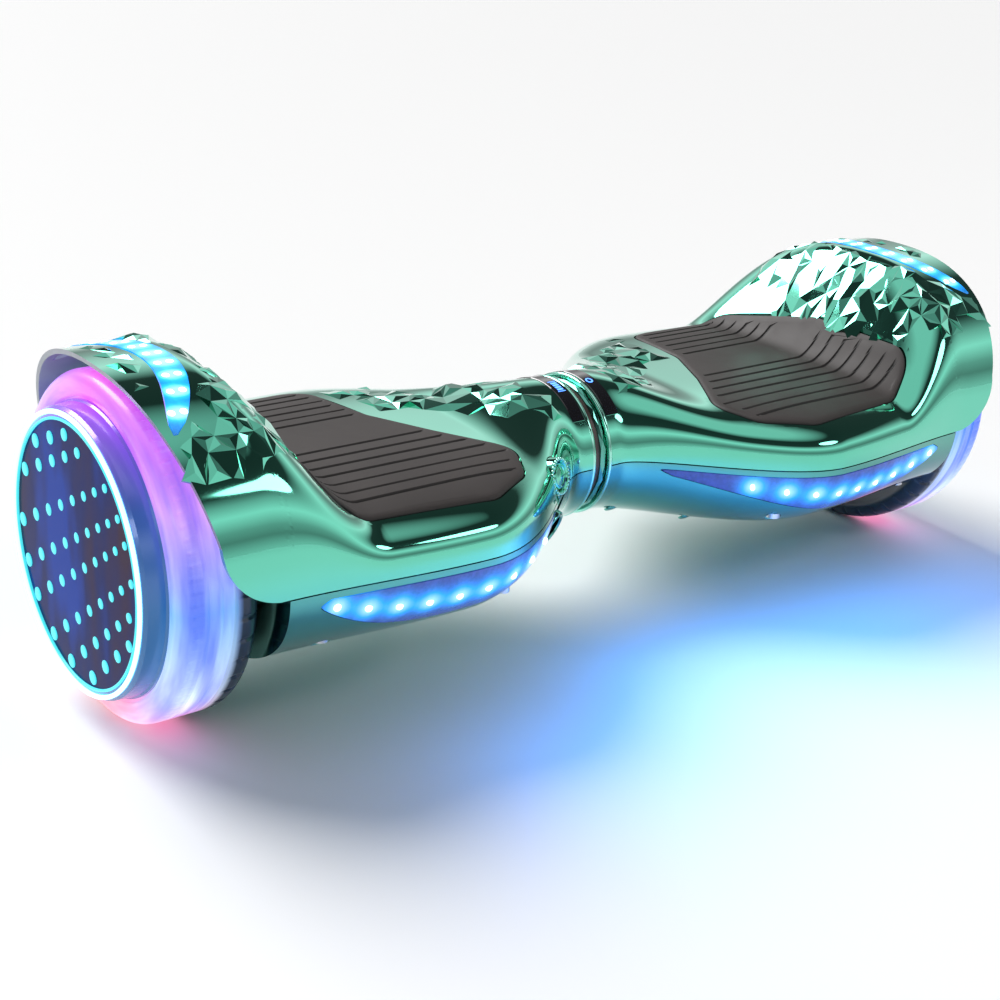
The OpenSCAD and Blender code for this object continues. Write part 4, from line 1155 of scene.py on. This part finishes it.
# ---------------------------------------------------------------- stage
SKY = [(0.0, 0.7), (0.12, 0.32), (0.22, 0.5), (0.37, 1.1), (0.48, 0.6), (0.57, 0.05), (0.80, 0.04), (0.93, 0.8)]
CAMERA_AT, FOCAL_MM = (-0.58271, -0.66760, 0.41754), 60.36
CAMERA_RIGHT, CAMERA_UP = Vector((0.79014, -0.60923, 0.06717)), Vector((0.18393, 0.34022, 0.92218))
FLOOR_GLOWS = [((0.01, -0.14, 0.07), 0.14), ((0.12, -0.15, 0.07), 0.10), ((0.23, -0.15, 0.07), 0.05),
               ((-0.09, -0.18, 0.07), 0.08), ((0.06, -0.24, 0.09), 0.07)]


def area_light(name, place, target, size, power, color=(1, 1, 1), shape="RECTANGLE", height=None):
    data = bpy.data.lights.new(name, "AREA")
    data.shape, data.size, data.size_y = shape, size, height or size
    data.energy, data.color = power, color
    obj = bpy.data.objects.new(name, data)
    bpy.context.scene.collection.objects.link(obj)
    obj.location = place
    obj.rotation_euler = (Vector(target) - Vector(place)).to_track_quat("-Z", "Y").to_euler()
    return obj


def build_stage():
    scene = bpy.context.scene
    camera = bpy.data.objects.new("camera", bpy.data.cameras.new("camera"))
    scene.collection.objects.link(camera)
    scene.camera = camera
    camera.data.lens, camera.data.sensor_width = FOCAL_MM, 36
    camera.data.clip_start = 0.01
    turn = Matrix((CAMERA_RIGHT, CAMERA_UP, CAMERA_RIGHT.cross(CAMERA_UP))).transposed().to_4x4()
    camera.matrix_world = Matrix.Translation(CAMERA_AT) @ turn

    floor = new_object("floor", [(-6, -6, 0), (6, -6, 0), (6, 6, 0), (-6, 6, 0)], [(0, 1, 2, 3)])
    floor.data.materials.append(material("floor_white", (0.93, 0.93, 0.93), roughness=0.6))

    world = bpy.data.worlds.new("studio")
    scene.world = world
    world.use_nodes = True
    split = node(world, "ShaderNodeSeparateXYZ")
    link(world, node(world, "ShaderNodeTexCoord"), "Generated", split, "Vector")
    bands = ramp_node(world, [(at, (value,) * 3) for at, value in SKY])
    link(world, split, "Z", bands, "Fac")
    path = node(world, "ShaderNodeLightPath")
    seen, lit = (node(world, "ShaderNodeMix", data_type="RGBA") for _ in range(2))
    link(world, path, "Is Camera Ray", seen, "Factor")
    link(world, path, "Is Glossy Ray", lit, "Factor")
    lit.inputs[MIX_A].default_value = (0.25, 0.25, 0.25, 1)
    link(world, bands, "Color", lit, MIX_B)
    link(world, lit, MIX_OUT, seen, MIX_A)
    seen.inputs[MIX_B].default_value = (1, 1, 1, 1)
    link(world, seen, MIX_OUT, world.node_tree.nodes["Background"], "Color")

    key = bpy.data.lights.new("key", "SUN")
    key.energy, key.angle = 3.5, math.radians(40)
    sun = bpy.data.objects.new("key", key)
    scene.collection.objects.link(sun)
    sun.rotation_euler = Vector((0.30, -1.0, -1.0)).to_track_quat("-Z", "Y").to_euler()
    area_light("front_box", (0.9, -1.2, 1.3), (0, 0, 0.1), 0.7, 2.6, shape="ELLIPSE", height=0.35)
    area_light("left_box", (-1.4, -0.9, 0.8), (-0.2, 0, 0.1), 0.5, 1.2, shape="ELLIPSE", height=0.3)
    for place, power in FLOOR_GLOWS:
        glow = area_light("blue", place, (place[0], place[1] - 0.03, 0), 0.11, power, (0.0, 0.25, 0.9))
        glow.visible_glossy = False
    scene.view_settings.view_transform = "Standard"


build_stage()
build_all()
